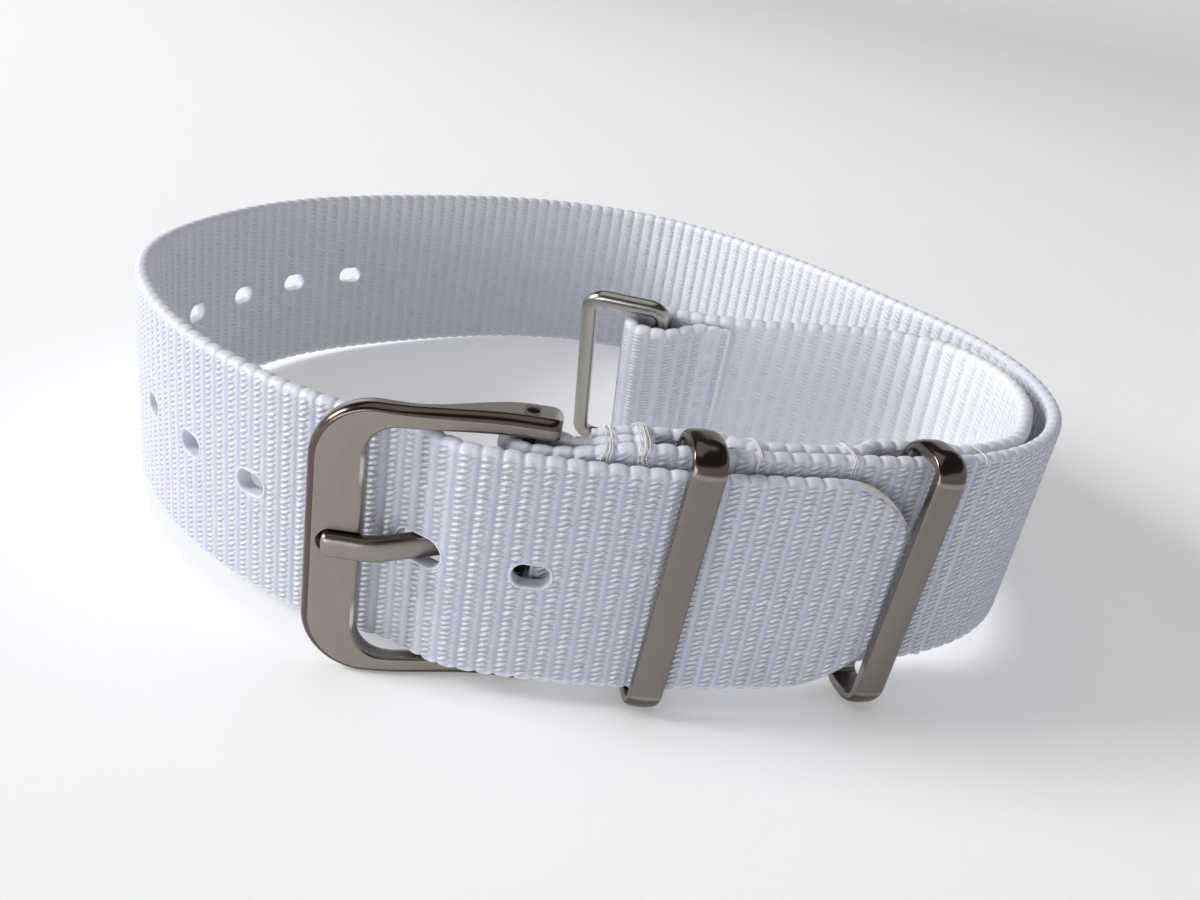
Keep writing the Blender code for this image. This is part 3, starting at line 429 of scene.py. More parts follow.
def short_course(loop):
    """Points of the short strap from its front end to its folded end, rulings and lifts.

    The last item says where the ring's bar runs: its place and its three directions.
    """
    places = places_between(SHORT_START, SHORT_LEAVE, STATION_STEP / 2)
    sewn = [loop.point(s, -short_pitch(s)) for s in places]
    chord = np.array(SHORT_END_SHARE) * (LOOP_WIDTH, LOOP_DEPTH) - sewn[-1]
    side = np.array([-chord[1], chord[0]])
    lead_in = [sewn[-9], sewn[-5], sewn[-1]]
    corners = [sewn[-1] + x * chord + y * side for x, y in FREE_SHARES]
    free = smooth_curve(lead_in + corners, 40, closed=False)[2 * 40 + 1:]
    along = lengths_along(free)
    steps = places_between(0.0, along[-1], STATION_STEP)
    free = [np.array([np.interp(s, along, free[:, k]) for k in (0, 1)]) for s in steps]
    points = [np.array([*xy, loop.middle(xy) + FRONT_RAISE]) for xy in sewn]
    rulings = [np.array([0.0, 0.0, 1.0]) for _ in sewn]
    start = points[-1]
    floor_gap, ring_half = RING_END_HEIGHT_PARTS
    end_height = (floor_gap + ring_half * math.cos(SHORT_LEAN)
                  + RING_FOLD_RADIUS * math.sin(SHORT_LEAN))
    for k, xy in enumerate(free):
        share = float(ramp((k + 1) / len(free), FREE_LEAN_START, 1.0))
        ahead = unit(xy - (free[k - 1] if k else start[:2]))
        inside = np.array([-ahead[1], ahead[0], 0.0])
        lean = SHORT_LEAN * share
        points.append(np.array([*xy, start[2] + (end_height - start[2]) * share]))
        rulings.append(np.array([0.0, 0.0, math.cos(lean)]) + inside * math.sin(lean))
    ruling = rulings[-1]
    ahead = points[-1] - points[-2]
    ahead = unit(ahead - ahead.dot(ruling) * ruling)
    inside = np.cross(ruling, ahead)
    axis = points[-1] + inside * RING_FOLD_RADIUS
    centre = axis + ahead * RING_FOLD_SLACK
    for angle in np.linspace(0.0, math.pi, FOLD_POINTS):
        points.append(centre + RING_FOLD_RADIUS * (ahead * math.sin(angle)
                                                   - inside * math.cos(angle)))
    turn = points[-1]
    far = RING_FOLD_SLACK + SHORT_RETURN - RING_FOLD_RADIUS
    for back in places_between(0.0, far, STATION_STEP / 2)[1:]:
        share = float(ramp(back, RING_FOLD_SLACK, far * 0.7))
        points.append(turn - ahead * back
                      - inside * (2 * RING_FOLD_RADIUS - RETURN_PITCH) * share)
    rulings += [ruling] * (len(points) - len(rulings))
    lifts = [loop.raised(place) - FRONT_RAISE for place in places]
    lifts += [0.0] * (len(points) - len(lifts))
    ring = (axis, np.array([ahead, inside, ruling]))
    return np.array(points), np.array(rulings), np.array(lifts), ring


def refined(wanted, stations, table):
    """Smooth values of a table at the wanted stations."""
    table = np.asarray(table, float)
    flat = table.reshape(len(stations), -1)
    slopes = np.gradient(flat, stations, axis=0)
    k = np.clip(np.searchsorted(stations, wanted) - 1, 0, len(stations) - 2)
    span = (stations[k + 1] - stations[k])[:, None]
    t = ((wanted - stations[k])[:, None]) / span
    out = ((2 * t ** 3 - 3 * t ** 2 + 1) * flat[k] + (t ** 3 - 2 * t ** 2 + t) * span * slopes[k]
           + (3 * t ** 2 - 2 * t ** 3) * flat[k + 1] + (t ** 3 - t ** 2) * span * slopes[k + 1])
    return out.reshape((len(wanted),) + table.shape[1:])


class Webbing:
    """A strap's middle line with its directions, and the flat-to-bent mapping of its surface."""

    def __init__(self, points, rulings, lifts, step):
        self.coarse = lengths_along(points)
        self.whole = float(self.coarse[-1])
        self.stations = places_between(0.0, self.whole, step)
        middle = refined(self.stations, self.coarse, points)
        ruling = refined(self.stations, self.coarse, rulings)
        ahead = unit(np.gradient(middle, self.stations, axis=0))
        ruling = unit(ruling - (ruling * ahead).sum(1)[:, None] * ahead)
        lift = refined(self.stations, self.coarse, lifts)[:, None]
        self.table = np.hstack([middle, ruling, np.cross(ahead, ruling), lift])

    def bent(self, along, across, out):
        """Where points of the flat webbing come to lie: along, across and out of its face."""
        rows = np.array([np.interp(along, self.stations, self.table[:, k]) for k in range(10)]).T
        middle, ruling, face, lift = rows[:, :3], rows[:, 3:6], rows[:, 6:9], rows[:, 9]
        return middle + ruling * (across + lift)[:, None] + face * out[:, None] + ROOT


def rounded_gap(length, height, radius):
    """Outline of a hole: a rectangle whose corners are rounded, around its own middle."""
    out = []
    for k in range(HOLE_STEPS):
        angle = 2 * math.pi * (k + 0.5) / HOLE_STEPS
        c, s = math.cos(angle), math.sin(angle)
        out.append((math.copysign(length / 2 - radius, c) + radius * c,
                    math.copysign(height / 2 - radius, s) + radius * s))
    return np.array(out)


def beyond(along, across, hole):
    """Distance of flat points from the edge of a hole; it is negative inside."""
    middle, length, height, radius = hole
    x = np.abs(along - middle) - (length / 2 - radius)
    y = np.abs(across) - (height / 2 - radius)
    outside = np.hypot(np.maximum(x, 0.0), np.maximum(y, 0.0))
    return outside + np.minimum(np.maximum(x, y), 0.0) - radius


def band(here, there, count, turned=False):
    """Four-cornered faces between two rings of points, each given by its first point."""
    quads = []
    for k in range(count):
        n = (k + 1) % count
        quad = (here + k, here + n, there + n, there + k)
        quads.append(quad[:1] + quad[:0:-1] if turned else quad)
    return quads


def add_layer(mesh, key, values):
    layer = mesh.attributes.new(key, "FLOAT", "POINT")
    layer.data.foreach_set("value", values.ravel().astype(np.float32))


# Places across a face of a strap, close together where its holes are, and round its edges
FINE = np.linspace(-0.0018, 0.0018, 19)
COARSE = np.array([0.0022, 0.0030, 0.0042, 0.0056, 0.0070, 0.0082, 0.0090, 0.0094])
ACROSS = np.concatenate([-COARSE[::-1], FINE, COARSE])
EDGE_ANGLES = np.radians([65, 45, 22, 0, -22, -45, -65])
EDGE_RADIUS = HALF_THICKNESS * 0.94
ROWS_PER_RIB, TIP_ROWS = 10, 44

# Share of a rib's and of a selvedge's height that lies inside the solid's face
RIB_MIDDLE, SELVEDGE_MIDDLE = 0.6, 0.75

# Melted webbing: how much round a hole, and the distances between which melting fades out
HOLE_SEALED = 0.6
HOLE_MELT, END_MELT = (0.0001, 0.0004), (0.0002, 0.0006)
HOLE_NEAR, HOLE_MARGIN = 0.0003, 0.00012

# Rim of a hole: distance outside its outline, and distance out as a share of half the thickness
HOLE_RIM = ((0.00036, 0.72), (0.00024, 1.06), (0.00010, 1.10), (0.00001, 0.86), (0.0, 0.30))
HOLE_RIM += tuple((grow, -share) for grow, share in HOLE_RIM[::-1])

# Welded end of the short strap, from its very end: where it is thinned, and its row of dots
WELD_THIN, WELD_THINNED = (0.0030, 0.0003), 1.5
WELD_PLACE, WELD_WIDTH, WELD_DEPTH = 0.0022, 0.0006, 0.00016


def strap_section():
    """Round a strap's section: places across, how far out from 1 to -1, and 1 on its faces."""
    edge = HALF_WIDTH - EDGE_RADIUS + EDGE_RADIUS * np.cos(EDGE_ANGLES)
    face, height = np.ones(len(ACROSS)), np.sin(EDGE_ANGLES)
    return (np.concatenate([ACROSS, edge, ACROSS[::-1], -edge[::-1]]),
            np.concatenate([face, height, -face, height[::-1]]),
            np.concatenate([face, 0.0 * edge, face, 0.0 * edge]))


def webbing_mesh(name, webbing, settings, holes, tip_length=0.0, welded=False):
    """The ribbed surface of a strap, with its selvedges, melted holes and sealed ends."""
    stations, whole = webbing.stations, webbing.whole
    half = np.full(len(stations), HALF_WIDTH)
    if tip_length:
        body = stations[stations < whole - tip_length]
        tip = whole - tip_length * (1 - np.sin(np.linspace(0.0, 1.52, TIP_ROWS)))
        stations = np.concatenate([body, tip[1:]])
        inside = np.clip((stations - whole) / tip_length + 1.0, 0.0, 1.0)
        half = HALF_WIDTH * np.sqrt(1.0 - inside ** 2)
    ring_across, ring_out, on_face = strap_section()
    rows, count = len(stations), len(ring_across)
    along, side = np.repeat(stations, count), np.tile(ring_out, rows)
    across = (ring_across * (half / HALF_WIDTH)[:, None]).ravel()

    sealed = 1.0 - ramp(np.minimum(along, whole - along), *END_MELT)
    for hole in holes:
        near_hole = 1.0 - ramp(beyond(along, across, hole), *HOLE_MELT)
        sealed = np.maximum(sealed, HOLE_SEALED * near_hole)
    if tip_length:
        rim = np.repeat(half, count) - np.abs(across)
        at_tip = ramp(along, whole - tip_length, whole - 0.8 * tip_length)
        sealed = np.maximum(sealed, at_tip * (1.0 - ramp(rim, *END_MELT)))

    phase = stations / settings.rib_pitch
    rib = 1.0 - np.abs(2.0 * (phase % 1.0) - 1.0) ** 3.0
    wobble = 0.5 + 0.5 * np.sin(np.floor(phase) * 2.4)
    height = np.repeat(rib, count) * (1.0 - sealed)
    rise = settings.rib_height * (height - RIB_MIDDLE)
    out = side * HALF_THICKNESS
    if welded:
        melted = ramp(along, *(whole - place for place in WELD_THIN))
        out = np.where(out > 0, out * (1.0 - WELD_THINNED * melted), out)
        dots = np.exp(-(((along - (whole - WELD_PLACE)) / WELD_WIDTH) ** 2))
        dots = dots * (0.6 + 0.4 * np.sin(across * 3600.0))
        rise = rise - WELD_DEPTH * dots
        sealed = np.maximum(sealed, 0.6 * dots)
    out = out + side * rise
    edge = np.tile(1.0 - on_face, rows)
    uneven = 0.8 + 0.4 * np.repeat(wobble, count)
    proud = settings.selvedge_height * (height - SELVEDGE_MIDDLE) * uneven
    across = across + np.sign(across) * edge * proud * (1.0 - sealed)

    faces = []
    for r in range(rows - 1):
        middle = (stations[r] + stations[r + 1]) / 2
        near = [h for h in holes if abs(h[0] - middle) < h[1] / 2 + HOLE_NEAR]
        for k, quad in enumerate(band(r * count, (r + 1) * count, count, turned=True)):
            n = (k + 1) % count
            if near and on_face[k] and on_face[n]:
                spot = (ring_across[k] + ring_across[n]) / 2
                if any(beyond(middle, spot, h) < HOLE_MARGIN for h in near):
                    continue
            faces.append(quad)
    span, bend = len(ACROSS), len(EDGE_ANGLES)
    last = 2 * span + bend - 1
    caps = [(k, k + 1, last - k - 1, last - k) for k in range(span - 1)]
    caps += [range(span - 1, span + bend + 1), range(last, count + 1)]
    for base, turn in ((0, 1), ((rows - 1) * count, -1)):
        faces += [tuple(base + k % count for k in cap)[::turn] for cap in caps]

    points, layers = [webbing.bent(along, across, out)], [np.array([along, across, sealed, side])]
    start = len(along)
    for middle, *sizes in holes:
        outline = rounded_gap(*sizes)
        ones = np.ones(HOLE_STEPS)
        for grow, share in HOLE_RIM:
            spots = outline + unit(outline) * grow
            layer = [middle + spots[:, 0], spots[:, 1], ones * HOLE_SEALED, ones * share]
            layers.append(np.array(layer))
            points.append(webbing.bent(*layer[:2], layer[3] * HALF_THICKNESS))
        for _ in HOLE_RIM[1:]:
            faces += band(start, start + HOLE_STEPS, HOLE_STEPS)
            start += HOLE_STEPS
        start += HOLE_STEPS

    mesh = bpy.data.meshes.new(name)
    mesh.from_pydata(np.vstack(points).tolist(), [], faces)
    mesh.shade_smooth()
    for key, values in zip(("along", "across", "sealed", "side"), np.hstack(layers)):
        add_layer(mesh, key, values)
    mesh.update()
    return mesh


def place_object(name, data):
    thing = bpy.data.objects.new(name, data)
    bpy.context.scene.collection.objects.link(thing)
    return thing


def add_piece(name, data, material, body, node):
    """A piece that rides on a body, stands for a node and has the finish it is given."""
    piece = place_object(name, data)
    data.materials.append(material)
    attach(piece, body)
    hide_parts(node)


SHARP_ANGLE = math.radians(38.0)
CORNER_STEPS, CORNER_SHARE, CORNER_SUPPORT = 8, 0.44, 0.00005


def section_ring(corners, roundings):
    """Points and polish round a four-cornered section, with its corners rounded.

    A rounding is its reach along the side before the corner and along the side after it, its
    polish, and the polish of the side after it.
    """
    corners = np.asarray(corners, float)
    ring, polish = [], []
    for k, (before, after, at_corner, at_side) in enumerate(roundings):
        corner = corners[k]
        back, ahead = corners[k - 1] - corner, corners[(k + 1) % 4] - corner
        wide, deep = np.linalg.norm(back), np.linalg.norm(ahead)
        before, after = min(before, CORNER_SHARE * wide), min(after, CORNER_SHARE * deep)
        back, ahead = back / wide, ahead / deep
        ring.append(corner + back * (before + CORNER_SUPPORT))
        for i in range(CORNER_STEPS + 1):
            angle = math.pi / 2 * i / CORNER_STEPS
            ring.append(corner + back * before * (1 - math.sin(angle))
                        + ahead * after * (1 - math.cos(angle)))
        ring.append(corner + ahead * (after + CORNER_SUPPORT))
        polish += [roundings[k - 1][3]] + [at_corner] * (CORNER_STEPS + 1) + [at_side]
    return ring, polish


def skin(name, rings, closed=False, polish=None):
    """A closed skin through rings of points; the first and last ring meet or get end faces."""
    rings = np.asarray(rings)
    rows, count = rings.shape[:2]
    faces = []
    for r in range(rows if closed else rows - 1):
        faces += band(r * count, (r + 1) % rows * count, count)
    if not closed:
        faces += [tuple(range(count))[::-1], tuple(range((rows - 1) * count, rows * count))]
    mesh = bpy.data.meshes.new(name)
    mesh.from_pydata(rings.reshape(-1, 3).tolist(), [], faces)
    if polish is not None:
        add_layer(mesh, "polish", np.asarray(polish, float))
    shape = bmesh.new()
    shape.from_mesh(mesh)
    bmesh.ops.recalc_face_normals(shape, faces=shape.faces)
    shape.to_mesh(mesh)
    shape.free()
    mesh.shade_smooth()
    mesh.set_sharp_from_angle(angle=SHARP_ANGLE)
    return mesh


def circle(radius, z, sides):
    angles = 2 * math.pi * np.arange(sides) / sides
    return np.stack([radius * np.cos(angles), radius * np.sin(angles), np.full(sides, z)], axis=1)


def round_bar(line, radii, sides, flat=1.0, power=2.0):
    """Rings of a round or squarish bar along a line in the XY plane of its own frame."""
    line = np.asarray(line, float)
    ahead = unit(np.gradient(line, axis=0))
    side = np.stack([-ahead[:, 1], ahead[:, 0], np.zeros(len(line))], axis=1)
    c, s = circle(1.0, 0.0, sides)[:, :2].T
    c = np.sign(c) * np.abs(c) ** (2.0 / power)
    s = np.sign(s) * np.abs(s) ** (2.0 / power)
    return np.array([p + r * (np.outer(c, b) + np.outer(s, [0.0, 0.0, flat]))
                     for p, b, r in zip(line, side, radii)])


def carved(mesh, cuts):
    """The mesh after other meshes are cut from it or joined to it."""
    blank = place_object("blank", mesh)
    helpers = [blank]
    for operation, cutter in cuts:
        boolean = blank.modifiers.new("cut", "BOOLEAN")
        boolean.operation = operation
        boolean.object = place_object("cutter", cutter)
        helpers.append(boolean.object)
    bpy.context.view_layer.update()
    graph = bpy.context.evaluated_depsgraph_get()
    made = bpy.data.meshes.new_from_object(blank.evaluated_get(graph))
    made.name = mesh.name
    for helper in helpers:
        bpy.data.objects.remove(helper, do_unlink=True)
    made.shade_smooth()
    made.set_sharp_from_angle(angle=SHARP_ANGLE)
    return made


def facing(ahead):
    """Turns a piece's own X axis to a direction in plan; its Z axis stays upright."""
    return np.array([[ahead[0], ahead[1], 0.0], [-ahead[1], ahead[0], 0.0], [0.0, 0.0, 1.0]])


class Hub:
    """The spring bar's axis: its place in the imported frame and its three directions."""

    def __init__(self, loop):
        place = loop.point(0.0, -FOLD_RADIUS)
        self.place = np.array([*place, loop.middle(loop.point(0.0))]) + ROOT
        self.turn = facing(-loop.tangent(0.0))
        self.loop = loop

    def world(self, points):
        return np.asarray(points) @ self.turn + self.place

    def back(self):
        """Distance out to the back of the front bar, clear of the tail."""
        axis, outside = self.loop.point(0.0, -FOLD_RADIUS), self.loop.outward(0.0)
        reach = []
        for away in np.linspace(FRAME_REACH - LEG_BEND_INSIDE, FRAME_REACH, 9):
            place = self.loop.length - away
            out = LAYER_PITCH * self.loop.tail_rise(place) + HALF_THICKNESS
            reach.append(float(np.dot(self.loop.point(place, out) - axis, outside)))
        return max(reach) + BACK_GAP


def frame_rings(face, back):
    """Sections of the frame from the upper heel round the front bar to the lower heel."""
    def at_face(x, z, rounding):
        rise = ramp(x, 0.0, FRAME_REACH - LEG_BEND)
        return (x, HEEL_OUT + (face - HEEL_OUT) * rise - rounding, z)

    def at_back(x, z, rounding):
        rise = ramp(x, 0.0, FRAME_REACH - LEG_BEND_INSIDE)
        return (x, (back + HEEL_IN) * rise - HEEL_IN + rounding, z)

    outer_end = FRAME_REACH - FRAME_CORNER_RADIUS
    inner_end = FRAME_REACH - FRONT_BAR_WIDTH - FRAME_INNER_RADIUS
    half = []
    for angle in np.linspace(0.0, math.pi / 2, 10):
        x = HEEL_CORNER_RADIUS * (1.0 - math.cos(angle)) - FRAME_HEEL
        rounding = HEEL_CORNER_RADIUS * (1.0 - math.sin(angle))
        half.append(((x, FRAME_HALF - rounding / 2), (x, FRAME_INNER_HALF), rounding))
    heel_x = half[-1][0][0]
    for share in np.linspace(0.0, 1.0, 30)[1:-1]:
        half.append(((heel_x + (outer_end - heel_x) * share, FRAME_HALF),
                     (heel_x + (inner_end - heel_x) * share, FRAME_INNER_HALF), 0.0))
    outer, inner = FRAME_CORNER_RADIUS, FRAME_INNER_RADIUS
    for angle in np.linspace(math.pi / 2, 0.0, 26):
        c, s = math.cos(angle), math.sin(angle)
        half.append(((outer_end + outer * c, FRAME_HALF - outer + outer * s),
                     (inner_end + inner * c, FRAME_INNER_HALF - inner + inner * s), 0.0))
    mirrored = [((a, -b), (c, -d), rounding) for (a, b), (c, d), rounding in reversed(half)]
    edges = [(radius, radius, *polish) for radius, polish in zip(FRAME_EDGES, FRAME_POLISH)]
    sections = [section_ring([at_face(*out, r), at_back(*out, r), at_back(*near, r),
                              at_face(*near, r)], edges) for out, near, r in half + mirrored]
    rings, polish = (np.array(part) for part in zip(*sections))
    for ring, share in ((0, HEEL_SHARES[0]), (1, HEEL_SHARES[1]),
                        (-1, HEEL_SHARES[0]), (-2, HEEL_SHARES[1])):
        middle = rings[ring].mean(axis=0)
        rings[ring] = middle + (rings[ring] - middle) * share
    return rings, polish


# Weave, in shares of a rib where it isn't metres: how yarns step from rib to rib, lean and wander,
# where their lenses with a painted glint lie, the plain band after them, and where the selvedge
# starts
YARN_STEP, YARN_LEAN, YARN_WANDER, STRAND_PITCH_FINE = 0.37, 1.2, 0.8, 0.00013
LENS_PLACE, LENS_HALF = 0.31, 0.37
BAND_START, BAND_END, SELVEDGE = (0.48, 0.70), (0.74, 1.0), (0.0091, 0.0098)
WEAVE_BUMP, THREAD_BUMP, STEEL_BUMP = 0.00027, 0.00003, 0.00002

# Polish between which steel gets a painted bright reflection, and from where it gets the edges'
# painted dark reflection
SATIN_REFLECTION_START, SATIN_REFLECTION_END, EDGE_REFLECTION_START = (0.50, 0.68), (0.80, 0.95), (0.3, 1.0)


def webbing_finish(name, settings, relief=1.0):
    """Ribbed nylon: twisted yarns that shine where they dive between the ribs, that shine also
    painted into the colour as a painted glint, with painted shade in the weave's valleys.
    """
    finish = Finish(name, Roughness=0.5, Specular_IOR_Level=0.5, Sheen_Weight=0.15,
                    Sheen_Roughness=0.4, Subsurface_Weight=0.2, Subsurface_Scale=0.0008)
    along, across = finish.attribute("along"), finish.attribute("across")
    sealed, side = finish.attribute("sealed"), finish.attribute("side")
    rib = along / settings.rib_pitch
    phase = rib.fraction()
    patch = finish.noise(along * 260.0, across * 1500.0, 0.0)
    wander = finish.noise(along * 900.0, across * 1300.0, 3.0)

    # Each yarn leans along its rib and shows as a lens on the rib's first half, painted bright as a
    # painted glint
    yarn = across / settings.yarn_pitch + rib.floor() * YARN_STEP - phase * YARN_LEAN
    yarn = yarn + wander * YARN_WANDER
    roundness = (yarn * math.pi).sine().size()
    off = ((phase + (wander - 0.5) * 0.28 - LENS_PLACE) / LENS_HALF).size()
    lens = (roundness * 1.05 - off ** 1.3 * 0.95).most(0.0)
    # Painted shade in the gaps between neighbouring yarns
    painted_gap_shade = (1.0 - roundness.step(0.0, 0.5)) * (1.0 - off.step(0.4, 1.1))
    strands = ((across / STRAND_PITCH_FINE + wander * 2.0) * math.pi).sine().size()
    plain = phase.step(*BAND_START) * (1.0 - phase.step(*BAND_END))

    # The weave, with its painted glints and painted shade, fades out at the selvedges, on melted
    # places and on the strap's inner side
    edge = across.size().step(*SELVEDGE)
    woven = 1.0 - (sealed / HOLE_SEALED).least(1.0)
    outer = (side * 0.35 + 0.65) * relief
    height = (lens * 1.1 + 0.10 * strands) * woven * (outer * 0.7 + 0.3) * (1.0 - edge)
    # Painted glint: each yarn's lens is painted bright, and the selvedges get a flat share of that
    # painted highlight
    float_and_painted_glint = lens.step(0.04, 0.75) * (1.0 - edge) + edge * 0.30
    # Painted light: glints, the plain band and the fine strands lighten the colour up from the
    # painted shade of the valleys
    light = float_and_painted_glint * (0.22 + 0.85 * patch) + plain * 0.26
    light = light + strands * 0.14 * (0.4 + wander) + 0.14 - painted_gap_shade * 0.10
    light = (light - 0.42) * outer + 0.42
    light = light * woven + (1.0 - woven) * 0.45
    weave_and_painted_light = finish.blend(light.most(0.0).least(1.0), settings.painted_shade_colour,
                                settings.yarn_and_highlight_colour)
    inner_colour = [c * 0.92 for c in settings.yarn_and_highlight_colour]
    sided = finish.blend((1.0 - outer) * 0.80, weave_and_painted_light, inner_colour)
    colour = finish.blend(sealed.step(HOLE_SEALED, 1.0) * 0.8, sided, settings.melted_colour)
    finish.vary(Base_Color=colour, Roughness=0.50 - float_and_painted_glint * 0.22 - sealed * 0.16,
                Normal=finish.bump(height, WEAVE_BUMP))
    return finish.material


def thread_finish(settings):
    finish = Finish("sewing_thread", Roughness=0.35, Sheen_Weight=0.3)
    x, y, z = finish.places()
    fibres = finish.noise(x * 4000.0, y * 4000.0, z * 9000.0)
    colour = finish.blend(fibres, [c * 0.8 for c in settings.colour], settings.colour)
    finish.vary(Base_Color=colour, Roughness=0.3 + fibres * 0.25,
                Normal=finish.bump(fibres, THREAD_BUMP))
    return finish.material


def steel_finish(name, settings, tint=1.0, polish=0.0):
    """Steel with fine scratches; polish is added to the share that the piece's mesh holds."""
    finish = Finish(name, Metallic=1.0)
    x, y, z = finish.places()
    scratches = finish.noise(x * 9000.0, y * 9000.0, z * 500.0, detail=4.0)
    cloud = finish.noise(x * 300.0, y * 300.0, z * 300.0)
    share = finish.attribute("polish") + polish
    bright = [c * tint for c in settings.colour]
    dark = [c * 0.72 for c in bright]
    tone = finish.blend((scratches * 0.7 + cloud * 0.5).least(1.0), dark, bright)
    # Painted reflections: the satin band of polish is painted bright, the polished edges painted
    # dark
    satin = share.step(*SATIN_REFLECTION_START) - share.step(*SATIN_REFLECTION_END)
    # Painted dark reflection where the polish reaches the edges
    with_edge_reflection = finish.blend(share.step(*EDGE_REFLECTION_START), tone, settings.painted_edge_reflection)
    colour = finish.blend(satin, with_edge_reflection, [c * tint for c in settings.painted_satin_reflection])
    matt = settings.brushed_roughness + (scratches - 0.5) * 0.2 + (cloud - 0.5) * 0.1
    rough = matt * (1.0 - share) + settings.polished_roughness * share
    finish.vary(Base_Color=colour, Roughness=rough,
                Normal=finish.bump(scratches * (1.0 - share * 0.9), STEEL_BUMP, strength=0.5))
    return finish.material


def main_holes(webbing, loop, places):
    """The tongue's slot in the fold, the hole in use and the row of free holes."""
    after = places > 0
    in_use = np.interp(loop.length - USED_HOLE_PLACE, places[after], webbing.coarse[after])
    first = in_use + (USED_HOLE_LENGTH - HOLE[0]) / 2 + HOLE_PITCH
    fold = np.mean(webbing.coarse[places == 0.0])
    holes = [(fold - SLOT_SHIFT, *SLOT, SLOT_ROUNDING),
             (in_use + SNUG_SHIFT, *SNUG_HOLE, SNUG_HOLE[1] * HOLE_ROUNDING)]
    holes += [(first - k * HOLE_PITCH, *HOLE, HOLE[1] * HOLE_ROUNDING)
              for k in range(HOLE_COUNT) if k != 1]
    return holes


class STRAP_OT_main_webbing(bpy.types.Operator):
    """Builds the long ribbed strap with its holes, fold and tip"""

    bl_idname = "watch_strap.main_webbing"
    bl_label = "Main webbing"

    def execute(self, context):
        settings = context.scene.strap_webbing
        loop = Loop()
        points, places, lifts = main_course(loop)
        upright = np.tile([0.0, 0.0, 1.0], (len(points), 1))
        webbing = Webbing(points, upright, lifts, settings.rib_pitch / ROWS_PER_RIB)
        holes = main_holes(webbing, loop, places)
        mesh = webbing_mesh("main_webbing", webbing, settings, holes, TIP_LENGTH)
        add_piece("main_webbing", mesh, webbing_finish("main_webbing", settings), "strap",
                  "main_strap")
        return {"FINISHED"}


class STRAP_OT_short_webbing(bpy.types.Operator):
    """Builds the short ribbed strap that carries the ring"""

    bl_idname = "watch_strap.short_webbing"
    bl_label = "Short webbing"

    def execute(self, context):
        settings = context.scene.strap_webbing
        points, rulings, lifts, _ = short_course(Loop())
        webbing = Webbing(points, rulings, lifts, settings.rib_pitch / ROWS_PER_RIB)
        mesh = webbing_mesh("short_webbing", webbing, settings, [], welded=True)
        finish = webbing_finish("short_webbing", settings, relief=0.55)
        add_piece("short_webbing", mesh, finish, "strap", "short_strap")
        return {"FINISHED"}


# Seams: strands in each, stitches on a side, how far thread stands out, and its disorder
STRANDS = (5, 5, 2, 2, 2)
STITCHES, STITCH_SWING, STRAND_PITCH = 22, 0.00016, 0.00016
THREAD_OUT, THREAD_OUT_HIDDEN, THREAD_REACH = 0.00011, 0.00002, 0.00012
SWING_SPREAD, OUT_SPREAD, END_SPREAD, HIDDEN_LOOSE = 0.00011, 0.00006, 0.012, 0.3


def strand_points(loop, place, strand, count, hidden):
    """Closed zigzag of one strand of a seam round both straps."""
    rng = np.random.default_rng(31 + int(place * 1e6) + strand)
    out_side = HALF_THICKNESS + (THREAD_OUT_HIDDEN if hidden else THREAD_OUT)
    reach = HALF_WIDTH + THREAD_REACH
    loose = HIDDEN_LOOSE if hidden else 1.0
    shift = (strand - (count - 1) / 2) * STRAND_PITCH * loose
    points = []
    for side in (1, -1):
        for k in range(STITCHES + 1):
            swing = STITCH_SWING * (-1) ** k + rng.normal(0.0, SWING_SPREAD)
            at = place + swing * loose + shift
            out = out_side + abs(rng.normal(0.0, OUT_SPREAD)) * loose
            xy = loop.point(at, out if side > 0 else -short_pitch(at) - out)
            height = loop.middle(loop.point(at)) + loop.raised(at)
            ends = 1.0 if 0 < k < STITCHES else 1.0 + END_SPREAD * loose * rng.random()
            points.append((*xy, height + side * reach * ends * (1.0 - 2.0 * k / STITCHES)))
    return np.array(points) + ROOT


class STRAP_OT_seams(bpy.types.Operator):
    """Sews the two straps together with strands of thread"""

    bl_idname = "watch_strap.seams"
    bl_label = "Seams"

    def execute(self, context):
        settings = context.scene.strap_thread
        loop = Loop()
        finish = thread_finish(settings)
        for number, (place, count) in enumerate(zip(SEAM_PLACES, STRANDS), 1):
            curve = bpy.data.curves.new(f"seam_{number}", "CURVE")
            curve.dimensions = "3D"
            curve.bevel_depth = settings.radius
            curve.bevel_resolution = 2
            for strand in range(count):
                points = strand_points(loop, place, strand, count, number == len(SEAM_PLACES))
                spline = curve.splines.new("NURBS")
                spline.points.add(len(points) - 1)
                for spot, point in zip(spline.points, points):
                    spot.co = (*point, 1.0)
                spline.use_cyclic_u = True
                spline.order_u = 3
            add_piece(f"seam_{number}", curve, finish, "strap", f"seam_thread_{number}")
        return {"FINISHED"}


def frame_mesh(hub, face, back):
    """The frame with its pivot holes and the groove in which the tongue rests."""
    rings, polish = frame_rings(face, back)
    bar = skin("buckle_bar", hub.world(rings), polish=polish)
    ends = (-FRAME_HALF - CUT_OVER, FRAME_HALF + CUT_OVER)
    holes = skin("pivot_holes", hub.world([circle(PIVOT_RADIUS, z, 48) for z in ends]))
    x = np.concatenate([[FRAME_REACH - FRONT_BAR_WIDTH - CUT_OVER],
                        np.linspace(-1.0, 1.0, 14) * GROOVE_RUN_OUT + TONGUE_REACH])
    radii = np.interp(x - TONGUE_REACH, np.array([-1.0, 0.0, 1.0]) * GROOVE_RUN_OUT,
                      GROOVE_SHARES) * GROOVE_RADIUS
    line = [(at, face - GROOVE_DEPTH + GROOVE_RADIUS, 0.0) for at in x]
    groove = skin("groove", hub.world(round_bar(line, radii, 48)))
    return carved(bar, [("DIFFERENCE", holes), ("DIFFERENCE", groove)])


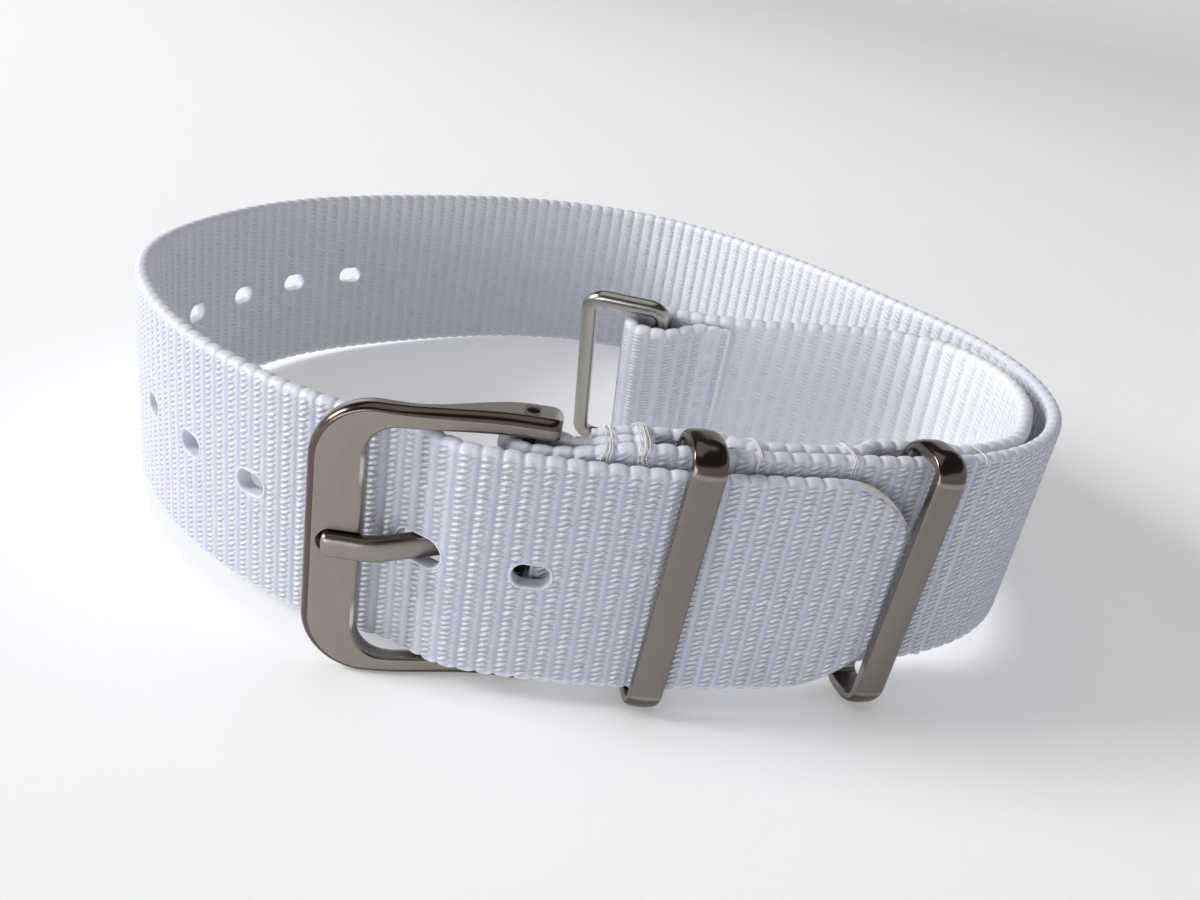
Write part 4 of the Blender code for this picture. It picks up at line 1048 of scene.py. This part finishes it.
def tongue_mesh(hub, face):
    """The tongue, which bends up to the front bar, with its eye round the spring bar."""
    rest = face - GROOVE_DEPTH + TONGUE_DEPTH / 2 + TONGUE_GAP
    shares = smooth_curve(TONGUE_RISE_SHARES, 10, False)
    body = shares[shares[:, 0] * TONGUE_REACH <= TONGUE_REACH - TONGUE_TIP]
    angles = np.linspace(0.1, 1.5, 10)
    line = [(x * TONGUE_REACH, y * rest, 0.0) for x, y in body]
    line += [(TONGUE_REACH - TONGUE_TIP + TONGUE_TIP * math.sin(a), rest, 0.0) for a in angles]
    radii = np.full(len(line), TONGUE_DEPTH / 2)
    radii[-len(angles):] *= 1.0 - 0.55 * (1.0 - np.cos(angles)) ** 1.3
    rings = round_bar(line, radii, 40, TONGUE_HEIGHT / TONGUE_DEPTH, 2.5)
    # Polish rises toward the tongue's top and bottom, which get the painted dark reflection of
    # polished edges
    polish = ramp(np.abs(rings[:, :, 2]) / (TONGUE_HEIGHT / 2), 0.55, 0.9)
    bar = skin("tongue_bar", hub.world(rings), polish=polish)
    slim, flat = EYE_RADIUS - EYE_BEVEL, EYE_HALF - EYE_BEVEL
    eye = skin("eye", hub.world([circle(radius, z, 64) for radius, z in (
        (slim, EYE_HALF), (EYE_RADIUS, flat), (EYE_RADIUS, -flat), (slim, -EYE_HALF))]))
    bore = skin("bore", hub.world([circle(EYE_BORE, z, 64) for z in (-0.002, 0.002)]))
    return carved(bar, [("UNION", eye), ("DIFFERENCE", bore)])


class STRAP_OT_buckle(bpy.types.Operator):
    """Builds the buckle's frame and tongue, and finishes the spring bar"""

    bl_idname = "watch_strap.buckle"
    bl_label = "Buckle"

    def execute(self, context):
        settings = context.scene.strap_steel
        hub = Hub(Loop())
        back = hub.back()
        face = back + FRONT_BAR_DEPTH
        add_piece("frame_bar", frame_mesh(hub, face, back), steel_finish("frame_steel", settings),
                  "frame", "buckle_frame")
        add_piece("tongue_bar", tongue_mesh(hub, face), steel_finish("tongue_steel", settings),
                  "tongue", "buckle_tongue")
        bar = steel_finish("bar_steel", settings, tint=0.7, polish=0.4)
        for part in ("barrel", "tip_upper", "tip_lower", "spring"):
            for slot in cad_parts["spring_bar_" + part].material_slots:
                slot.material = bar
        return {"FINISHED"}


def rounded_outline(width, height, radius, steps):
    """A rectangle's outline with rounded corners, round its middle."""
    points = []
    for start, (sx, sy) in enumerate(((1, 1), (-1, 1), (-1, -1), (1, -1))):
        for i in range(steps + 1):
            angle = math.pi / 2 * (start + i / steps)
            points.append((sx * (width / 2 - radius) + radius * math.cos(angle),
                           sy * (height / 2 - radius) + radius * math.sin(angle)))
    return np.array(points)


class STRAP_OT_keepers(bpy.types.Operator):
    """Builds the two flat keepers"""

    bl_idname = "watch_strap.keepers"
    bl_label = "Keepers"

    def execute(self, context):
        loop = Loop()
        deep, tall = KEEPER_INNER
        outer = rounded_outline(deep + 2 * KEEPER_WALL, tall + 2 * KEEPER_WALL, KEEPER_RADII[0], 20)
        inner = rounded_outline(deep, tall, KEEPER_RADII[1], 20)
        h, (thin, wide), (shine_start, shine_end) = KEEPER_HALF_BAND, KEEPER_CROWN, KEEPER_SHINE
        sections = []
        # Polish near the bends and on the sides also picks the steel's painted reflections
        for far, near in zip(outer, inner):
            shine = float(ramp(abs(far[1]), tall / 2 - shine_start, tall / 2 - shine_end))
            crown = max(shine, 0.2)
            sections.append(section_ring(
                [(h, *far), (-h, *far), (-h, *near), (h, *near)],
                [(thin, wide, crown, shine), (wide, thin, crown, 0.7),
                 (KEEPER_INNER_EDGE, KEEPER_INNER_EDGE, 0.8, 0.6),
                 (KEEPER_INNER_EDGE, KEEPER_INNER_EDGE, 0.8, 0.7)]))
        rings, polish = (np.array(part) for part in zip(*sections))
        c, s = math.cos(KEEPER_LEAN), math.sin(KEEPER_LEAN)
        tilt = np.array([[c, 0.0, -s], [0.0, 1.0, 0.0], [s, 0.0, c]])
        finish = steel_finish("keeper_steel", context.scene.strap_steel, tint=0.54)
        for end, place in zip(("front", "rear"), KEEPER_PLACES):
            middle = loop.point(place, LAYER_PITCH / 2)
            z = loop.middle(middle) + FRONT_RAISE / 2 - KEEPER_SETTLE
            spots = rings @ tilt @ facing(loop.tangent(place)) + np.array([*middle, z]) + ROOT
            add_piece(end + "_band", skin(end + "_band", spots, True, polish), finish,
                      end + "_keeper", "keeper_" + end)
        return {"FINISHED"}


class STRAP_OT_ring(bpy.types.Operator):
    """Builds the wire ring"""

    bl_idname = "watch_strap.ring"
    bl_label = "Ring"

    def execute(self, context):
        *_, (axis, turn) = short_course(Loop())
        outline = rounded_outline(RING_WIDTH, RING_HEIGHT, RING_CORNER_RADIUS, 12)
        last_side = [outline[0] + (outline[-1] - outline[0]) * k / 12 for k in range(11, 0, -1)]
        line = np.vstack([outline, last_side]) + (RING_WIDTH / 2, 0.0)
        rings = round_bar(np.column_stack([line, np.zeros(len(line))]),
                          np.full(len(line), RING_WIRE_RADIUS), 28)
        spots = rings[:, :, [0, 2, 1]] @ turn + axis + ROOT
        # Polish 0.75 lays the painted bright reflection of the satin band over the whole ring
        finish = steel_finish("ring_steel", context.scene.strap_steel, tint=0.74, polish=0.75)
        add_piece("wire_ring", skin("wire_ring", spots, True), finish, "ring", "tail_ring")
        return {"FINISHED"}


# Camera: lens and film in mm, its place from the loop's middle in metres, looking down and rolled
LENS, FILM = 33.0, 36.0
CAMERA_SIDE, CAMERA_AWAY, CAMERA_UP, CAMERA_LIFT = 0.00195, 0.1125, 0.0548, 0.00095
CAMERA_DOWN, CAMERA_ROLL = math.radians(25.32), math.radians(10.14)
CAMERA_SLOPE = math.asin(0.0019 / 0.079)

# Round floor that sweeps up all round: radius, radius of the sweep, height and sides
FLOOR_FLAT, FLOOR_SWEEP, FLOOR_TOP, FLOOR_SIDES = 1.15, 0.45, 0.75, 96

# Lights: size and place; all look at the same point
LIGHTS = {
    "key": ((0.42, 0.42), (-1.06, -0.12, 0.56)),
    "top": ((0.9, 0.7), (-0.10, 0.05, 0.80)),
    "fill": ((0.45, 0.12), (-0.36, -0.66, 0.12)),
}
LIGHT_TARGET = Vector((0.0, 0.0, 0.01))
SKY_COLOUR, SKY_STRENGTH = (0.92, 0.93, 1.0, 1.0), 0.08


def floor_mesh():
    profile = [(FLOOR_FLAT + FLOOR_SWEEP * math.sin(a), FLOOR_SWEEP * (1.0 - math.cos(a)))
               for a in np.linspace(0.0, math.pi / 2, 24)]
    profile.append((FLOOR_FLAT + FLOOR_SWEEP, FLOOR_TOP))
    points = [point for radius, z in profile for point in circle(radius, z, FLOOR_SIDES).tolist()]
    faces = [tuple(range(FLOOR_SIDES))]
    for start in range(0, len(points) - FLOOR_SIDES, FLOOR_SIDES):
        faces += band(start, start + FLOOR_SIDES, FLOOR_SIDES, turned=True)
    mesh = bpy.data.meshes.new("floor")
    mesh.from_pydata(points, [], faces)
    mesh.shade_smooth()
    return mesh


def floor_finish(settings):
    """Pale paper that glows a little, so that it stays as pale as the photograph's ground."""
    finish = Finish("floor_paper", Roughness=0.9, Specular_IOR_Level=0.1,
                    Emission_Color=(1.0, 1.0, 1.0, 1.0), Emission_Strength=0.22)
    grain = finish.noise(*(axis * 400.0 for axis in finish.places()))
    finish.vary(Base_Color=finish.blend(grain, [c * 0.985 for c in settings.floor_colour],
                                        settings.floor_colour))
    return finish.material


class STRAP_OT_stage(bpy.types.Operator):
    """Sets the floor, the lights and the camera"""

    bl_idname = "watch_strap.stage"
    bl_label = "Stage"

    def execute(self, context):
        settings = context.scene.strap_stage
        data = bpy.data.cameras.new("camera")
        data.lens, data.sensor_width, data.clip_start = LENS, FILM, 0.01
        camera = place_object("camera", data)
        c, s = math.cos(CAMERA_SLOPE), math.sin(CAMERA_SLOPE)
        place = Vector((ROOT[0] + CAMERA_SIDE, ROOT[1] - CAMERA_AWAY * c + CAMERA_UP * s,
                        CAMERA_AWAY * s + CAMERA_UP * c + CAMERA_LIFT))
        down = CAMERA_DOWN + CAMERA_SLOPE
        camera.matrix_world = (Matrix.Translation(place)
                               @ Matrix.Rotation(math.pi / 2 - down, 4, "X")
                               @ Matrix.Rotation(CAMERA_ROLL, 4, "Z"))
        context.scene.camera = camera

        floor = place_object("floor", floor_mesh())
        floor.data.materials.append(floor_finish(settings))

        for name, (size, place) in LIGHTS.items():
            data = bpy.data.lights.new(name, "AREA")
            data.energy = getattr(settings, name + "_power")
            data.shape = "RECTANGLE"
            data.size, data.size_y = size
            light = place_object(name, data)
            light.location = place
            aim = (LIGHT_TARGET - light.location).to_track_quat("-Z", "Y")
            light.rotation_euler = aim.to_euler()
        world = bpy.data.worlds.new("studio")
        world.use_nodes = True
        sky = world.node_tree.nodes["Background"].inputs
        sky["Color"].default_value, sky["Strength"].default_value = SKY_COLOUR, SKY_STRENGTH
        context.scene.world = world
        context.scene.view_settings.view_transform = "Standard"
        return {"FINISHED"}


class STRAP_PT_panel(bpy.types.Panel):
    """Lists the strap's pieces and their settings"""

    bl_idname = "STRAP_PT_panel"
    bl_label = "Watch Strap"
    bl_space_type = "VIEW_3D"
    bl_region_type = "UI"
    bl_category = "Watch Strap"

    def draw(self, context):
        for title, name, group, operators in SECTIONS:
            box = self.layout.box()
            box.label(text=title)
            for key in group.__annotations__:
                box.prop(getattr(context.scene, name), key)
            for operator in operators:
                box.operator(operator.bl_idname)


# Title in the panel, name of the settings in the scene, their group, and the operators
SECTIONS = (
    ("Webbing", "strap_webbing", WebbingSettings, (STRAP_OT_main_webbing, STRAP_OT_short_webbing)),
    ("Thread", "strap_thread", ThreadSettings, (STRAP_OT_seams,)),
    ("Steel", "strap_steel", SteelSettings, (STRAP_OT_buckle, STRAP_OT_keepers, STRAP_OT_ring)),
    ("Stage", "strap_stage", StageSettings, (STRAP_OT_stage,)),
)
OPERATORS = [operator for section in SECTIONS for operator in section[3]]
CLASSES = [*(section[2] for section in SECTIONS), *OPERATORS, STRAP_PT_panel]


def register():
    for kind in CLASSES:
        bpy.utils.register_class(kind)
    for _, name, group, _ in SECTIONS:
        setattr(bpy.types.Scene, name, PointerProperty(type=group))


def unregister():
    for _, name, *_ in SECTIONS:
        delattr(bpy.types.Scene, name)
    for kind in reversed(CLASSES):
        bpy.utils.unregister_class(kind)


def main():
    register()
    for operator in OPERATORS:
        module, name = operator.bl_idname.split(".")
        getattr(getattr(bpy.ops, module), name)()


if __name__ == "__main__":
    main()
